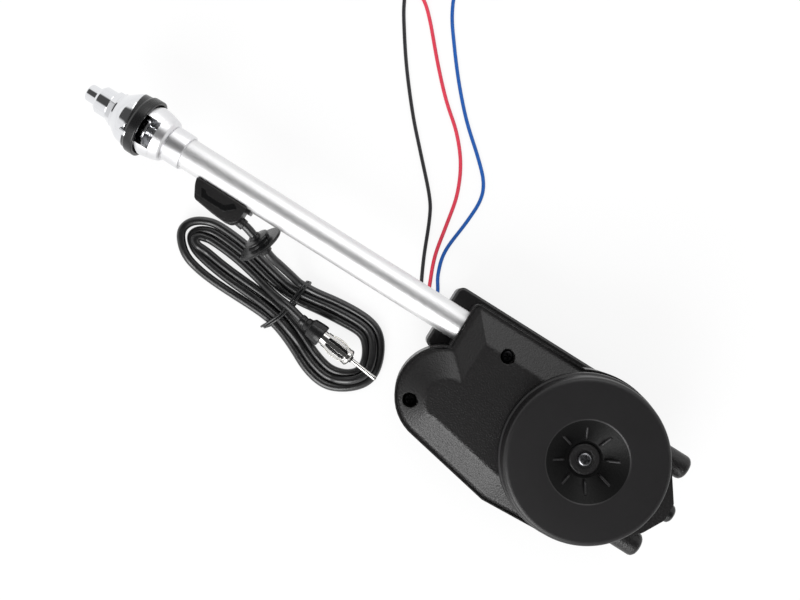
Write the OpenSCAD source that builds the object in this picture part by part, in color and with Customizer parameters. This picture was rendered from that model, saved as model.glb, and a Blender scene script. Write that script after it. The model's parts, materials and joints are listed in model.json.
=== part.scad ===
/* [Mast tube] */
// Outside diameter of the metal tube
tube_d = 22; // [20:0.5:24]
// Length of tube seen between the gear housing and the collar
tube_len = 220; // [160:5:280]
// Wall of the metal tube
tube_wall = 0.9; // [0.6:0.1:1.2]
// Travel of each telescopic section
section_travel = 220; // [100:5:240]

/* [Fender head] */
// Largest diameter of the chrome dome
dome_d = 37; // [32:0.5:42]
// Diameter of the rubber wedge at its skirt
wedge_d = 42; // [38:0.5:48]
// Diameter of the threaded neck that goes through the wing
neck_d = 16; // [14:0.5:18]
// Lean of the wedge towards the front of the housing
wedge_lean = 9; // [0:1:14]
// Lean of the wedge to the side
wedge_roll = 5; // [0:1:8]

/* [Housing] */
// Height of the mast axis above the surface it lies on
axis_h = 48; // [46:0.5:52]
// Height of the housing's top rim above the mast axis
rim_z = 13.2; // [12.6:0.2:14]
// Height of the flat face of the front cover above the mast axis
plateau_z = 22; // [20:0.5:23]
// Height of the drum cover's face above the mast axis
drum_top_z = 40; // [36:0.5:44]
// Outside radius of the drum cover
drum_r = 54.4; // [52:0.2:56]
// Wall of the moulded shells
wall = 2.2; // [1.8:0.1:2.6]

/* [Drive] */
// Gear module of worm, worm wheel and drive gear
gear_m = 1; // [1:0.01:1.02]
// Teeth of the worm wheel
wheel_teeth = 18; // [18:1:18]
// Teeth of the drive gear
drive_teeth = 20; // [20:1:20]

/* [Aerial lead] */
// Diameter of the coaxial lead
coax_d = 5.4; // [4.8:0.1:5.6]
// Diameter of each power wire
wire_d = 2.8; // [2.2:0.1:3]

/* [Hidden] */
$fn = 96;
// Clearance of a part that lies in a seat
seat_gap = 0.3;
// Radial clearance of a running fit
run_fit = 0.08;
tube_r = tube_d / 2;
drum_x = -112;
drum_y = 31;
turret_r = drum_r - 4.4;
spool_r = turret_r - wall - 4.3;
// places along the mast, from the housing's front wall at 0
collar_x = tube_len;
collar_len = 13.6;
claw_x = collar_x + collar_len;
// crown of the wing that wedge and claw close on
saddle_r = 33.5;
saddle_x = claw_x + 20.6;
dome_x = claw_x + 29;
// the wedge's skirt ends on a flatter crown
rim_saddle_r = 400;
rim_x = claw_x + 17.9;
washer_x = dome_x + 10.6;
nut_x = washer_x + 2.6;
bush_x = nut_x + 3.8;
cap_x = bush_x + 11.2;
tip_x = cap_x + 8.2;
nose_x = drum_x - 69.3;
plug_end_x = nose_x - 8.7;
bulge_r = drum_r + 3;
low_edge_y = 91;
mid_x = (tip_x + plug_end_x) / 2;
mid_y = (drum_y - bulge_r + low_edge_y) / 2;
floor_z = -axis_h;
// the mast's sections, from the fixed guide tube inwards
guide_ro = 6;
guide_ri = 5.4;
section_ro = [4.8, 3.7, 2.7, 1.75];
section_wall = 0.45;
section_x0 = 12;
// gear train
drive_r = gear_m * drive_teeth / 2;
wheel_r = gear_m * wheel_teeth / 2;
worm_r = 3.6;
gear_y = drive_r + 0.6;
// the drive gear runs just clear of the spool
gear_to_spool = 2.4;
gear_x = drum_x + round(sqrt(pow(spool_r + drive_r + gear_to_spool, 2) - pow(drum_y - gear_y, 2)));
motor_y = gear_y - wheel_r - worm_r;
motor_z = -30.3;
motor_r = 15.2;
motor_x0 = gear_x + 24;
motor_x1 = motor_x0 + 43;
gear_shaft_r = 2.5;
motor_shaft_r = 1.6;
worm_lead = PI * gear_m;
worm_len = 12;
bush_r = 4;
roller_r = 5.1;
roller_bore = 2;
wrap_r = drum_y;
rack_half = 1.4;
roller_y = -rack_half - seat_gap - roller_r;
core_r = wrap_r - rack_half - seat_gap;
post_r = 7;
spool_z0 = -3.4;
spool_z1 = 17.6;
spool_flange = 1.6;
wraps_z = 1.6;
// housing outline
shell_floor_z = -12;
shell_ledge_z = 10.8;
spigot_y = 32.3;
spigot_dy = 30.8;
lobe_c = [-15.4, 45.7];
lobe_r = 34;
screw_at = [[-35.5, 1.2], [3.5, 60.1]];
screw_head_z = [17, 8.6];
turret_z = plateau_z + 2.2;
drum_skirt_z = plateau_z + seat_gap;
well_z = 28;
cone_r = 26.8;
well_r = 12.4;
// motor box
box_x0 = gear_x - 52;
box_x1 = motor_x1 + 7;
box_min_y = -24.2;
box_max_y = 24;
box_top_z = shell_floor_z - 0.3;
lug_at = [[box_x0 - 5, 0], [gear_x + 40, box_max_y + 5], [gear_x - 30, box_max_y + 5]];
// coaxial hank, as it lies on the surface
hank_h = 2 * coax_d;
hank_top = floor_z + hank_h;
// the block on the tube that the lead comes out of, and what lies about it
block_x = collar_x - 55;
hank_left = [block_x + 23.3, 49.7];
hank_left_r = 22.1;
hank_waist = [block_x - 53, 54.3];
hank_waist_r = 20.6;
hank_right = [block_x - 103.8, 60.6];
hank_right_r = 32.5;
plug_z = hank_top + 2.3;
plug_tip = [block_x - 136.6, 65.2];
plug_turn = 173.4;
coax_route = [[block_x + 3, 20, -3], [block_x - 7, 21.8, -5.6], [block_x - 27, 29.6, -12],
    [block_x - 35, 31.6, -19], [block_x - 43, 33.6, -28], [block_x - 52, 36, -38.5]];
grommet_at = (coax_route[1] + coax_route[2]) / 2;
// the three wires, from the gland to their coils, at the wire's centre
wire_z = floor_z + wire_d / 2;
black_route = [[18, 3.4, -36], [26, 1.5, -40], [33, -4, -44], [38, -12, wire_z], [47, -30, wire_z],
    [58, -55, wire_z], [67, -69, wire_z], [89, -92, wire_z], [109, -113, wire_z], [133, -142, wire_z],
    [153, -170, wire_z], [168, -184, wire_z], [186, -195, wire_z]];
red_route = [[18, 0, -36], [24, -2.5, -40], [29, -8, -44], [32, -14, wire_z], [40, -34, wire_z],
    [45, -58, wire_z], [50, -80, wire_z], [60, -101, wire_z], [75, -119, wire_z], [94, -135, wire_z],
    [114, -155, wire_z], [132, -176, wire_z], [142, -203, wire_z]];
blue_route = [[18, -3.4, -36], [21, -6, -40], [23, -9.5, -44], [25, -14, wire_z], [31, -24, wire_z],
    [35.5, -41, wire_z], [33.5, -67, wire_z], [33.5, -86, wire_z], [39, -99, wire_z], [52, -112, wire_z],
    [73, -130, wire_z], [93, -151, wire_z], [111, -173, wire_z], [124, -195, wire_z], [131, -216, wire_z],
    [131.9, -234, wire_z]];
wire_coil_r = 15;
wire_coil_w = 2 * wire_d;
black_coil = [199, -182];
red_coil = [157.5, -208];
blue_coil = [115.5, -234.5];

// puts what is drawn about the mast axis into the row's own frame
module place() {
    translate([-mid_x, -mid_y, axis_h]) children();
}

// a turned shape about the mast axis: points are [distance along x, radius]
module turned(points) {
    rotate([0, 90, 0]) rotate_extrude() polygon([for (p = points) [p[1], p[0]]]);
}

// the way that a straight piece of the lead runs, as the turns that take +z to it
function turns(a, b) = [0, acos((b - a)[2] / norm(b - a)), atan2((b - a)[1], (b - a)[0])];

// a rod along x from x0 to x1
module rod(x0, x1, r) {
    translate([x0, 0, 0]) rotate([0, 90, 0]) cylinder(h = x1 - x0, r = r);
}

// a tube along x from x0 to x1
module pipe(x0, x1, ro, ri) {
    difference() {
        rod(x0, x1, ro);
        rod(x0 - 1, x1 + 1, ri);
    }
}

// a section of the telescope: friction collar at its foot, tube, and a lip turned in at its top
module section(ro, child_r, parent_ri) {
    ri = ro - section_wall;
    foot = parent_ri - run_fit;
    difference() {
        union() {
            rod(section_x0 + 3, cap_x - 0.4, ro);
            rod(section_x0, section_x0 + 6, foot);
        }
        rod(section_x0 - 1, cap_x - 3, ri);
        rod(cap_x - 4, cap_x + 1, child_r + run_fit);
    }
}

module mast_section_1() {
    color("silver") place() section(section_ro[0], section_ro[1], guide_ri);
}

module mast_section_2() {
    color("silver") place() section(section_ro[1], section_ro[2], section_ro[0] - section_wall);
}

module mast_section_3() {
    color("silver") place() section(section_ro[2], section_ro[3], section_ro[1] - section_wall);
}

// the thin top rod, with the foot that the drive cord is crimped into
module mast_tip_rod() {
    foot = section_ro[2] - section_wall - run_fit;
    color("silver") place() union() {
        rod(section_x0 + 3, cap_x + 5, section_ro[3]);
        rod(section_x0, section_x0 + 6, foot);
    }
}

// the button on top of the rod, which closes the bush when the mast is in
module mast_cap() {
    color("gainsboro") place() difference() {
        turned([[cap_x, 0], [cap_x, 5.8], [cap_x + 0.4, 6.15], [tip_x - 0.8, 6.15], [tip_x, 5.4],
            [tip_x, 0]]);
        rod(cap_x - 1, cap_x + 5, section_ro[3]);
    }
}

module outer_tube() {
    color("silver") place() pipe(-14, claw_x - 2, tube_r, tube_r - tube_wall);
}

// fixed inner tube that carries the signal, held clear of the metal tube
module guide_tube() {
    color("gold") place() pipe(6, bush_x + 0.8, guide_ro, guide_ri);
}

module top_bush() {
    r = 9.9;
    color("gainsboro") place() difference() {
        turned([[bush_x, 0], [bush_x, r], [cap_x - 2.2, r], [cap_x, r - 1.8], [cap_x, 0]]);
        rod(bush_x - 1, bush_x + 4, neck_d / 2);
        rod(bush_x - 1, cap_x - 3, 7);
        rod(bush_x, cap_x + 1, section_ro[0] + run_fit);
    }
}

// rubber ring under the bush's lip that wipes the largest section
module wiper_seal() {
    color("dimgray") place() pipe(cap_x - 6.4, cap_x - 3, 7, section_ro[0] + run_fit);
}

module hex_nut() {
    color("gainsboro") place() difference() {
        union() {
            translate([nut_x, 0, 0]) rotate([0, 90, 0]) rotate([0, 0, 12])
                cylinder(h = bush_x - nut_x, r = 12, $fn = 6);
            turned([[washer_x, 0], [washer_x, 12.7], [nut_x, 12.7], [nut_x + 1, 11.4], [nut_x + 1, 0]]);
        }
        rod(washer_x - 1, bush_x + 1, neck_d / 2 + run_fit);
    }
}

// half space below the tilted seat between dome and wedge
module below_seat() {
    translate([dome_x, 0, 0]) rotate([0, -wedge_lean, 0]) rotate([0, 0, wedge_roll])
        translate([-60, -40, -40]) cube([60, 80, 80]);
}

// lug on the dome's edge that lies in a notch of the wedge and keeps the two from turning
module index_lug(gap) {
    r = dome_d / 2;
    rotate([-33, 0, 0]) translate([dome_x - 6 - gap, -1.7 - gap, r - 1.9 - gap])
        cube([6, 3.4 + 2 * gap, 3.9 + 2 * gap]);
}

module chrome_dome() {
    r = dome_d / 2;
    color("gainsboro") place() difference() {
        union() {
            difference() {
                turned([[dome_x - 8, 0], [dome_x - 8, r], [dome_x, r], [dome_x + 2.4, r - 0.5],
                    [dome_x + 5, r - 1.8], [dome_x + 7.6, r - 3.7], [dome_x + 9.6, r - 5.2],
                    [washer_x, r - 5.5], [washer_x, 0]]);
                below_seat();
            }
            index_lug(0);
        }
        rod(dome_x - 20, washer_x + 1, neck_d / 2 + 0.2);
        turned([[dome_x - 9, 0], [dome_x - 9, r - 2], [dome_x + 1, r - 2.2], [dome_x + 6, r - 5.5],
            [dome_x + 8.6, 10], [dome_x + 8.6, 0]]);
    }
}

// rubber wedge, hollow below: its skirt is a little hollowed for the crown of the wing
module wedge_gasket() {
    r = wedge_d / 2;
    skirt = 2.3;
    color("dimgray") place() difference() {
        intersection() {
            turned([[claw_x + 11, 0], [claw_x + 11, r - 0.4], [claw_x + 17, r], [claw_x + 24, r - 1.2],
                [dome_x + 4, r - 2.6], [dome_x + 4, 0]]);
            below_seat();
        }
        translate([rim_x - rim_saddle_r, 0, -40]) cylinder(h = 80, r = rim_saddle_r);
        rod(claw_x, dome_x - 5.6, r - skirt);
        rod(claw_x, dome_x + 10, neck_d / 2 + 0.2);
        index_lug(seat_gap);
    }
}

// chrome claw that grips the wing from below, with a window on each broad side
module fender_claw() {
    base = claw_x;
    color("gainsboro") place() difference() {
        turned([[base, 0], [base, 12.8], [base + 0.5, 13.6], [base + 1.7, 15.1], [base + 4.8, 16.2],
            [base + 8.6, 17.2], [base + 14.4, 18.2], [base + 21.4, 18.2], [base + 21.4, 16.4],
            [base + 14.4, 16.3],
            [base + 8.6, 15.3], [base + 4.8, 13.9], [base + 2.4, 11.2], [base + 2.4, 0]]);
        rod(base - 1, base + 4, neck_d / 2 + 0.2);
        translate([saddle_x - saddle_r, 0, -40]) difference() {
            translate([0, -40, 0]) cube([80, 80, 80]);
            cylinder(h = 80, r = saddle_r - seat_gap);
        }
        rotate([-9, 0, 0]) {
            translate([base + 8, -9.6, -30]) cube([24, 19.2, 60]);
        }
    }
}

// threaded sleeve: pressed into the tube, it carries the claw, wedge, dome and nut
module threaded_neck() {
    r = neck_d / 2;
    color("darkgray") place() difference() {
        union() {
            rod(collar_x + 1, claw_x - 2, tube_r - tube_wall);
            rod(claw_x - 2, claw_x - 0.3, 12);
            rod(claw_x - 0.4, bush_x + 3.6, r - run_fit);
            for (k = [0 : 8]) translate([claw_x + 28 + 2 * k, 0, 0])
                turned([[0, r - 1], [0.5, r], [0.9, r], [1.4, r - 1]]);
        }
        rod(collar_x, bush_x + 5, guide_ro + 1);
    }
}

module neck_insulator() {
    color("ivory") place() pipe(collar_x + 2, bush_x - 0.4, guide_ro + 1, guide_ro);
}

module collar() {
    color("gainsboro") place() difference() {
        turned([[collar_x, 0], [collar_x, 12.3], [collar_x + 0.6, 12.7], [claw_x - 0.5, 12.7],
            [claw_x, 12.2], [claw_x, 0]]);
        rod(collar_x - 1, claw_x - 2, tube_r);
        rod(claw_x - 3, claw_x + 1, 12);
    }
}

// plastic block in the housing that holds the end of the tube and leads the cord
module tube_block() {
    color("ivory") place() difference() {
        union() {
            translate([-45, -8.4, shell_floor_z + wall + 0.2]) cube([30.6, 16.8, 19]);
            rod(-14.4, 6, tube_r - tube_wall);
        }
        rod(-46, 7, 2.1);
        rod(2, 7, guide_ri);
        translate([-46, -2.1, -1.9]) cube([53, 4.2, 3.8]);
        translate([screw_at[0][0], screw_at[0][1], 4]) cylinder(h = 20, r = 1.5);
    }
}

// moulded block on the side of the tube that the aerial lead comes out of
module coax_block() {
    x0 = block_x;
    h = 15;
    color("dimgray") place() difference() {
        union() {
            translate([0, 0, -h / 2]) linear_extrude(h) polygon([[x0, 4], [x0, 21.6], [x0 + 5.6, 26.4],
                [x0 + 17.5, 25.6], [x0 + 33.4, 23.4], [x0 + 38.3, 14.6], [x0 + 39.6, 4]]);
            translate([x0 - 3.2, 9, -h / 2]) cube([5, 4.5, h - 3]);
            translate(coax_route[0]) rotate(turns(coax_route[0], coax_route[1])) translate([0, 0, 2])
                cylinder(h = 4, r = 4);
        }
        rod(x0 - 10, x0 + 60, tube_r);
        translate([0, 0, h / 2 - 1.4]) linear_extrude(3) polygon([[x0 + 33, 14.6], [x0 + 29.6, 20.2],
            [x0 + 11.4, 20.2], [x0 + 4.8, 14.2], [x0 + 8, 11.4], [x0 + 13.6, 16.6], [x0 + 27.8, 16.6],
            [x0 + 29.6, 14]]);
        translate(coax_route[0]) rotate(turns(coax_route[0], coax_route[1])) cylinder(h = 12,
            r = coax_d / 2);
    }
}

// points of a smooth curve through hand set ones
function curve_point(a, b, c, d, t) = 0.5 * ((2 * b) + (c - a) * t + (2 * a - 5 * b + 4 * c - d) * t * t
    + (3 * b - a - 3 * c + d) * t * t * t);
function curve(p, n) = let (last = len(p) - 1) concat(
    [for (i = [0 : last - 1], k = [0 : n - 1])
        curve_point(p[max(i - 1, 0)], p[i], p[i + 1], p[min(i + 2, last)], k / n)], [p[last]]);
function unit(v) = v / norm(v);
function ring(p, t, r, sides) = let (side = unit(cross(t, [0, 0, 1])), up = cross(side, t))
    [for (k = [0 : sides - 1]) p + r * (cos(360 * k / sides) * side + sin(360 * k / sides) * up)];

// a round cord along a route
module swept(route, r, n, sides) {
    low = min([for (p = route) p[2]]);
    line = [for (p = curve(route, n)) [p[0], p[1], max(p[2], low)]];
    last = len(line) - 1;
    rings = [for (i = [0 : last])
        ring(line[i], unit(line[min(i + 1, last)] - line[max(i - 1, 0)]), r, sides)];
    points = [for (one = rings) each one];
    walls = [for (i = [0 : last - 1], k = [0 : sides - 1]) let (a = i * sides, m = (k + 1) % sides)
        [a + k, a + m, a + sides + m, a + sides + k]];
    polyhedron(points, concat(walls, [[for (k = [sides - 1 : -1 : 0]) k],
        [for (k = [0 : sides - 1]) last * sides + k]]));
}

module coax_lead() {
    color("#1c1c1c") place() swept(coax_route, coax_d / 2, 1, 12);
}

// rubber grommet for the hole where the lead enters the car: two flanges and a waist
module cable_grommet() {
    color("dimgray") place() translate(grommet_at) rotate(turns(coax_route[1], coax_route[2]))
        difference() {
            rotate_extrude() polygon([[0, -7], [4, -7], [4.6, -5], [9.8, -4.2], [9.8, -3], [8.6, -2.4],
                [8.6, 0], [15.6, 0], [16.2, 0.9], [15.4, 1.8], [9, 4.2], [4.6, 5.4], [4.2, 8.6], [0, 8.6]]);
            translate([0, 0, -20]) cylinder(h = 40, r = coax_d / 2);
        }
}

// outer shape of the tied hank, open where the plug lies
module coax_hank() {
    color("#1c1c1c") place() difference() {
        translate([0, 0, floor_z]) linear_extrude(hank_h) difference() {
            union() {
                hull() {
                    translate(hank_left) circle(hank_left_r, $fn = 40);
                    translate(hank_waist) circle(hank_waist_r, $fn = 40);
                }
                hull() {
                    translate(hank_waist) circle(hank_waist_r, $fn = 40);
                    translate(hank_right) circle(hank_right_r, $fn = 40);
                }
            }
            hull() {
                translate([block_x - 105, 61.4]) circle(12, $fn = 40);
                translate([block_x - 74, 58]) circle(6.2, $fn = 40);
            }
        }
        translate([block_x - 63, 20, floor_z - 1]) cube([19, 70, 2.9]);
    }
}

// twisted tie round the waist of the hank: two turns of plastic covered wire
module hank_tie() {
    wire = 0.85;
    across = 47.2;
    high = hank_h + 1;
    color("#262626") place() translate([hank_waist[0] - 0.4, hank_waist[1], floor_z]) rotate([0, 0, -10])
        for (shift = [-1.9, 0.1]) translate([shift, 0, 0]) rotate([90, 0, 90]) linear_extrude(1.7)
            difference() {
            hull() for (s = [-1, 1]) translate([s * (across / 2 - 4), 0]) {
                translate([0, 5]) circle(5, $fn = 24);
                translate([0, high + 2 * wire - 6]) circle(5, $fn = 24);
            }
            hull() for (s = [-1, 1]) translate([s * (across / 2 - 4), 0]) {
                translate([0, 5]) circle(5 - 2 * wire, $fn = 24);
                translate([0, high + 2 * wire - 6]) circle(5 - 2 * wire, $fn = 24);
            }
        }
}

// the plug's axis: drawn along +x from the back of its boot, it ends at the tip of the pin
module plug_axis() {
    place() translate([plug_tip[0], plug_tip[1], plug_z]) rotate([0, 0, plug_turn]) translate([-70, 0, 0])
        children();
}

module plug_boot() {
    color("dimgray") plug_axis() difference() {
        turned([[0, 0], [0, 3.9], [1, 4.2], [8, 5.2], [9.4, 7], [16, 8], [19.6, 8.2], [20.6, 7.8],
            [20.6, 0]]);
        rod(-1, 15, coax_d / 2);
        rod(14.6, 22, 5.2);
    }
}

module plug_sleeve() {
    color("gainsboro") plug_axis() difference() {
        union() {
            rod(15, 24, 5.2);
            turned([[23, 0], [23, 5.8], [25, 5.9], [30, 7], [34, 7.3], [38, 7], [42, 5.9], [43, 5.8],
                [43, 0]]);
            turned([[42.6, 0], [42.6, 6], [45, 6.2], [46, 5.4], [46.6, 3.4], [46.6, 0]]);
        }
        rod(14, 45, 4.4);
        rod(40, 48, 2.4);
        for (k = [0 : 3]) rotate([45 * k + 22.5, 0, 0]) translate([25.4, -1, -10]) cube([17, 2, 20]);
    }
}

module plug_insulator() {
    color("ivory") plug_axis() pipe(40, 47.4, 2.4, 1.3);
}

module plug_pin() {
    color("gainsboro") plug_axis() turned([[20, 0], [20, 1.3], [47.6, 1.3], [47.6, 1.6], [68.6, 1.6],
        [70, 0.7], [70, 0]]);
}

// plan of the gear housing seen from the front
module housing_plan() {
    union() {
        hull() {
            translate([-5, -14.5]) circle(5, $fn = 32);
            polygon([[drum_x, -19.5], [drum_x, 60], [-60, 60], [0, 16.3]]);
        }
        hull() {
            translate(lobe_c) circle(lobe_r, $fn = 48);
            polygon([[drum_x + 39.4, low_edge_y], [drum_x - 4, drum_y + bulge_r], [drum_x - 8, 20]]);
        }
        polygon([[-0.1, 16.3], [11.1, 23.2], [-5, 40], [-30, 16.3]]);
        translate([drum_x, drum_y]) circle(bulge_r, $fn = 72);
        polygon([[drum_x - 30, -14], [drum_x - 51, -0.7], [nose_x, 25.4], [nose_x, 37.8], [drum_x - 61.2, 53],
            [drum_x - 34, 70], [drum_x, drum_y]]);
    }
}

// the raised body of the front cover, drawn in by inset and lowered by drop
module raised_body(inset, drop) {
    foot = shell_ledge_z;
    top = plateau_z - drop;
    i = inset;
    hull() {
        translate([0, 0, foot]) linear_extrude(1.8 - drop * 0.5) polygon([[-4.2 - i, -16 + i],
            [drum_x, -16 + i], [drum_x, 46], [-4.2 - i, 46]]);
        translate([0, 0, top - 0.1]) linear_extrude(0.1) polygon([[-19.3 - i, 1.8 + i],
            [drum_x, 1.8 + i], [drum_x, 46], [-19.3 - i, 46]]);
    }
    hull() {
        translate([0, 0, foot]) linear_extrude(1.8 - drop * 0.5) union() {
            translate(lobe_c) circle(lobe_r - 3.6 - i, $fn = 32);
            polygon([[drum_x + 39.4, low_edge_y - 3.4 - i], [drum_x - 4, drum_y + bulge_r - 3.6 - i], [drum_x, 40]]);
        }
        translate([0, 0, top - 0.1]) linear_extrude(0.1) union() {
            translate([-18, 47.6]) circle(15.4 - i, $fn = 32);
            polygon([[drum_x + 38.5, 71.7 - i], [drum_x, 71.7 - i], [drum_x, 40]]);
        }
    }
}

module front_cover() {
    color("#2b2b2b") place() difference() {
        union() {
            difference() {
                union() {
                    translate([0, 0,
                        shell_ledge_z]) linear_extrude(1.6) offset(delta = -1.5) housing_plan();
                    raised_body(0, 0);
                }
                translate([0, 0, -1]) raised_body(wall + 0.6, wall - 1);
                translate([0, 0, 5]) linear_extrude(5.9) square(500, center = true);
            }
            translate([drum_x, drum_y, shell_ledge_z]) cylinder(h = turret_z - shell_ledge_z, r = turret_r);
            for (k = [0, 1]) translate([screw_at[k][0], screw_at[k][1], screw_head_z[k] - 2.2])
                cylinder(h = (k == 0 ? 18.4 : 15) - screw_head_z[k] + 2.2, r = 6.8);
            translate([gear_x, gear_y, 9.6]) cylinder(h = plateau_z - 1.5 - 9.6, r = 5);
        }
        translate([drum_x, drum_y, 0]) cylinder(h = 60, r = turret_r - wall);
        for (k = [0, 1]) translate([screw_at[k][0], screw_at[k][1], 0]) {
            cylinder(h = 40, r = 2.2);
            translate([0, 0, screw_head_z[k]]) cylinder(h = 30, r = 4.9);
        }
        translate([gear_x, gear_y, 0]) cylinder(h = 12.2, r = gear_shaft_r + run_fit);
        rod(-20, 10, tube_r + run_fit);
    }
}

module rear_shell() {
    floor_top = shell_floor_z + wall + 0.2;
    spigot_x = drum_x - 46;
    color("#262626") place() difference() {
        union() {
            difference() {
                translate([0, 0, shell_floor_z]) linear_extrude(rim_z - shell_floor_z) housing_plan();
                translate([0, 0, floor_top]) linear_extrude(40) offset(delta = -wall) housing_plan();
                translate([0, 0, shell_ledge_z]) linear_extrude(10) offset(delta = -1.2) housing_plan();
            }
            for (s = [-1, 1]) translate([0, spigot_y + s * spigot_dy, 0])
                turned([[nose_x, 0], [nose_x, 6.8], [nose_x + 1.2, 8], [nose_x + 2.8, 8.5], [spigot_x, 8.5],
                    [spigot_x, 0]]);
            // posts that stand on the floor: place, height of the top, radius
            for (q = [[[drum_x, drum_y], 25.4, post_r], [[drum_x, drum_y], spool_z0 - seat_gap, 10],
                [screw_at[1], screw_head_z[1] - 2.2, 5.4], [[gear_x, gear_y], floor_top + 3.6, 6.2],
                [[gear_x, roller_y], floor_top + 12.9, roller_bore], [[gear_x, roller_y],
                floor_top + 6.3, 3.6],
                for (p = lug_at) [p, floor_top + 3.7, 4],
                for (p = [[-32, 34], [2, 34], [-32, 58]]) [p, floor_top + 4, 2.6]])
                translate([q[0][0], q[0][1], shell_floor_z + 0.1])
                    cylinder(h = q[1] - shell_floor_z - 0.1, r = q[2]);
        }
        rod(-14.8, 20, tube_r + run_fit);
        for (s = [-1, 1]) translate([0, spigot_y + s * spigot_dy, 0]) rod(nose_x - 5, spigot_x + 5, 4.4);
        translate([0, spigot_y + 0.6, 0]) rod(nose_x - 5, nose_x + 8, 4.5);
        translate([drum_x, drum_y, 4]) cylinder(h = 40, r = 2.3);
        translate([screw_at[1][0], screw_at[1][1], -7]) cylinder(h = 40, r = 1.6);
        translate([gear_x, gear_y, shell_floor_z - 1]) cylinder(h = 40, r = bush_r);
        for (p = lug_at) translate([p[0], p[1], shell_floor_z - 1]) cylinder(h = 6.4, r = 1.6);
    }
}

module drum_cover() {
    r = drum_r;
    t = drum_top_z;
    color("#202020") place() translate([drum_x, drum_y, 0]) difference() {
        union() {
            rotate_extrude() polygon([[0, well_z - 2.4], [well_r + 1.4, well_z - 2.4], [cone_r + 1.2,
                t - 2.6],
                [r - 3.6, t - 2.6], [r - 2.6, t - 3.8], [r - 2.6, turret_z + wall],
                [turret_r - wall, turret_z + wall], [turret_r - wall, turret_z], [turret_r + seat_gap,
                turret_z],
                [turret_r + seat_gap, drum_skirt_z], [r - 0.2, drum_skirt_z], [r, drum_skirt_z + 0.6],
                [r, t - 2.7], [r - 0.5, t - 1.3], [r - 1.3, t - 0.4], [r - 2.6, t],
                [cone_r + 0.6, t], [cone_r, t - 0.5], [well_r, well_z], [0, well_z]]);
            for (k = [0 : 7]) rotate([0, 0, 30 + 45 * k]) rotate([90, 0, 0]) translate([0, 0, -0.6])
                linear_extrude(1.2) polygon([[well_r - 1.2, well_z - 0.8], [cone_r - 1.4, t - 2.4],
                    [cone_r - 3.2, t - 2.4], [well_r + 0.6, well_z + 2.2], [well_r - 1.2, well_z + 2.2]]);
        }
        translate([0, 0, 10]) cylinder(h = 40, r = 2.7);
    }
}

module drum_washer() {
    color("dimgray") place() translate([drum_x, drum_y, 0]) difference() {
        rotate_extrude() polygon([[2.7, well_z], [10.2, well_z], [10.2, well_z + 1], [9.4, well_z + 1.6],
            [2.7, well_z + 1.6]]);
        translate([0, 0, well_z + 1]) cylinder(h = 4, r = 6.2);
    }
}

// a pan head screw standing on its point, its head's underside at z = 0
module pan_screw(head_r, head_h, shank_r, shank_len) {
    difference() {
        union() {
            rotate_extrude() polygon([[0, 0], [head_r, 0], [head_r, head_h * 0.45], [head_r * 0.8,
                head_h * 0.85],
                [head_r * 0.5, head_h], [0, head_h]]);
            translate([0, 0, -shank_len]) cylinder(h = shank_len + 0.2, r = shank_r);
        }
        for (a = [0, 90]) rotate([0, 0, a + 20])
            translate([-head_r * 0.55, -0.5, head_h * 0.4]) cube([head_r * 1.1, 1, head_h]);
    }
}

module drum_screw() {
    color("silver") place() translate([drum_x, drum_y, well_z + 1]) pan_screw(4.8, 2.8, 2.2, 18);
}

module cover_screws() {
    color("#151515") place() {
        translate([screw_at[0][0], screw_at[0][1], screw_head_z[0]]) pan_screw(4.6, 2.6, 1.5, 12);
        translate([screw_at[1][0], screw_at[1][1], screw_head_z[1]]) pan_screw(4.6, 2.6, 1.5, 12);
    }
}

// rounded box outline of the motor box
module box_plan(inset) {
    r = 5;
    hull() for (x = [box_x0 + r, box_x1 - r], y = [box_min_y + r, box_max_y - r])
        translate([x, y]) circle(r - inset, $fn = 32);
}

module motor_box() {
    inner_z = floor_z + wall;
    color("#232323") place() difference() {
        union() {
            difference() {
                hull() {
                    translate([0, 0, floor_z + 2]) linear_extrude(box_top_z - floor_z - 4) box_plan(0);
                    translate([0, 0, floor_z]) linear_extrude(box_top_z - floor_z) box_plan(1.6);
                }
                translate([0, 0, inner_z]) linear_extrude(box_top_z - floor_z - 2 * wall) box_plan(wall);
                translate([box_x0 + 7, -16.4, inner_z]) cube([102, 37, 60]);
            }
            translate([gear_x, gear_y, inner_z - 0.1]) cylinder(h = 5.4, r = 6.2);
            translate([gear_x - 24, -16.4, inner_z - 0.1]) cube([4, 32, 21]);
            difference() {
                for (x = [motor_x0 + 5, motor_x1 - 6]) translate([x, box_min_y + 1, inner_z - 0.1])
                    cube([2.4, box_max_y - box_min_y - 2, 12]);
                translate([0, motor_y, motor_z]) rod(motor_x0 - 4, motor_x1 + 5, motor_r + seat_gap);
            }
            for (p = lug_at) translate([p[0], p[1], box_top_z - 4]) {
                cylinder(h = 4, r = 5);
                if (p[0] < box_x0) translate([0, -5, 0]) cube([8, 10, 4]);
                if (p[0] > box_x0) translate([-5, -8, 0]) cube([10, 8, 4]);
            }
        }
        translate([gear_x, gear_y, inner_z - 0.6]) cylinder(h = 10, r = bush_r);
        translate([0, motor_y, motor_z]) rod(gear_x - 30, gear_x - 15, bush_r - 1);
        translate([gear_x - 26, motor_y - bush_r + 1, motor_z]) cube([8, 2 * bush_r - 2, 20]);
        for (p = lug_at) translate([p[0], p[1], box_top_z - 6]) cylinder(h = 10, r = 2);
        translate([0, 0, -36]) rod(box_x1 - 6, box_x1 + 4, 6);
    }
}

module box_screws() {
    color("#151515") place() for (p = lug_at) translate([p[0], p[1], box_top_z - 4])
        rotate([180, 0, 0]) pan_screw(3.6, 2.2, 1.5, 9);
}

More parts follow.
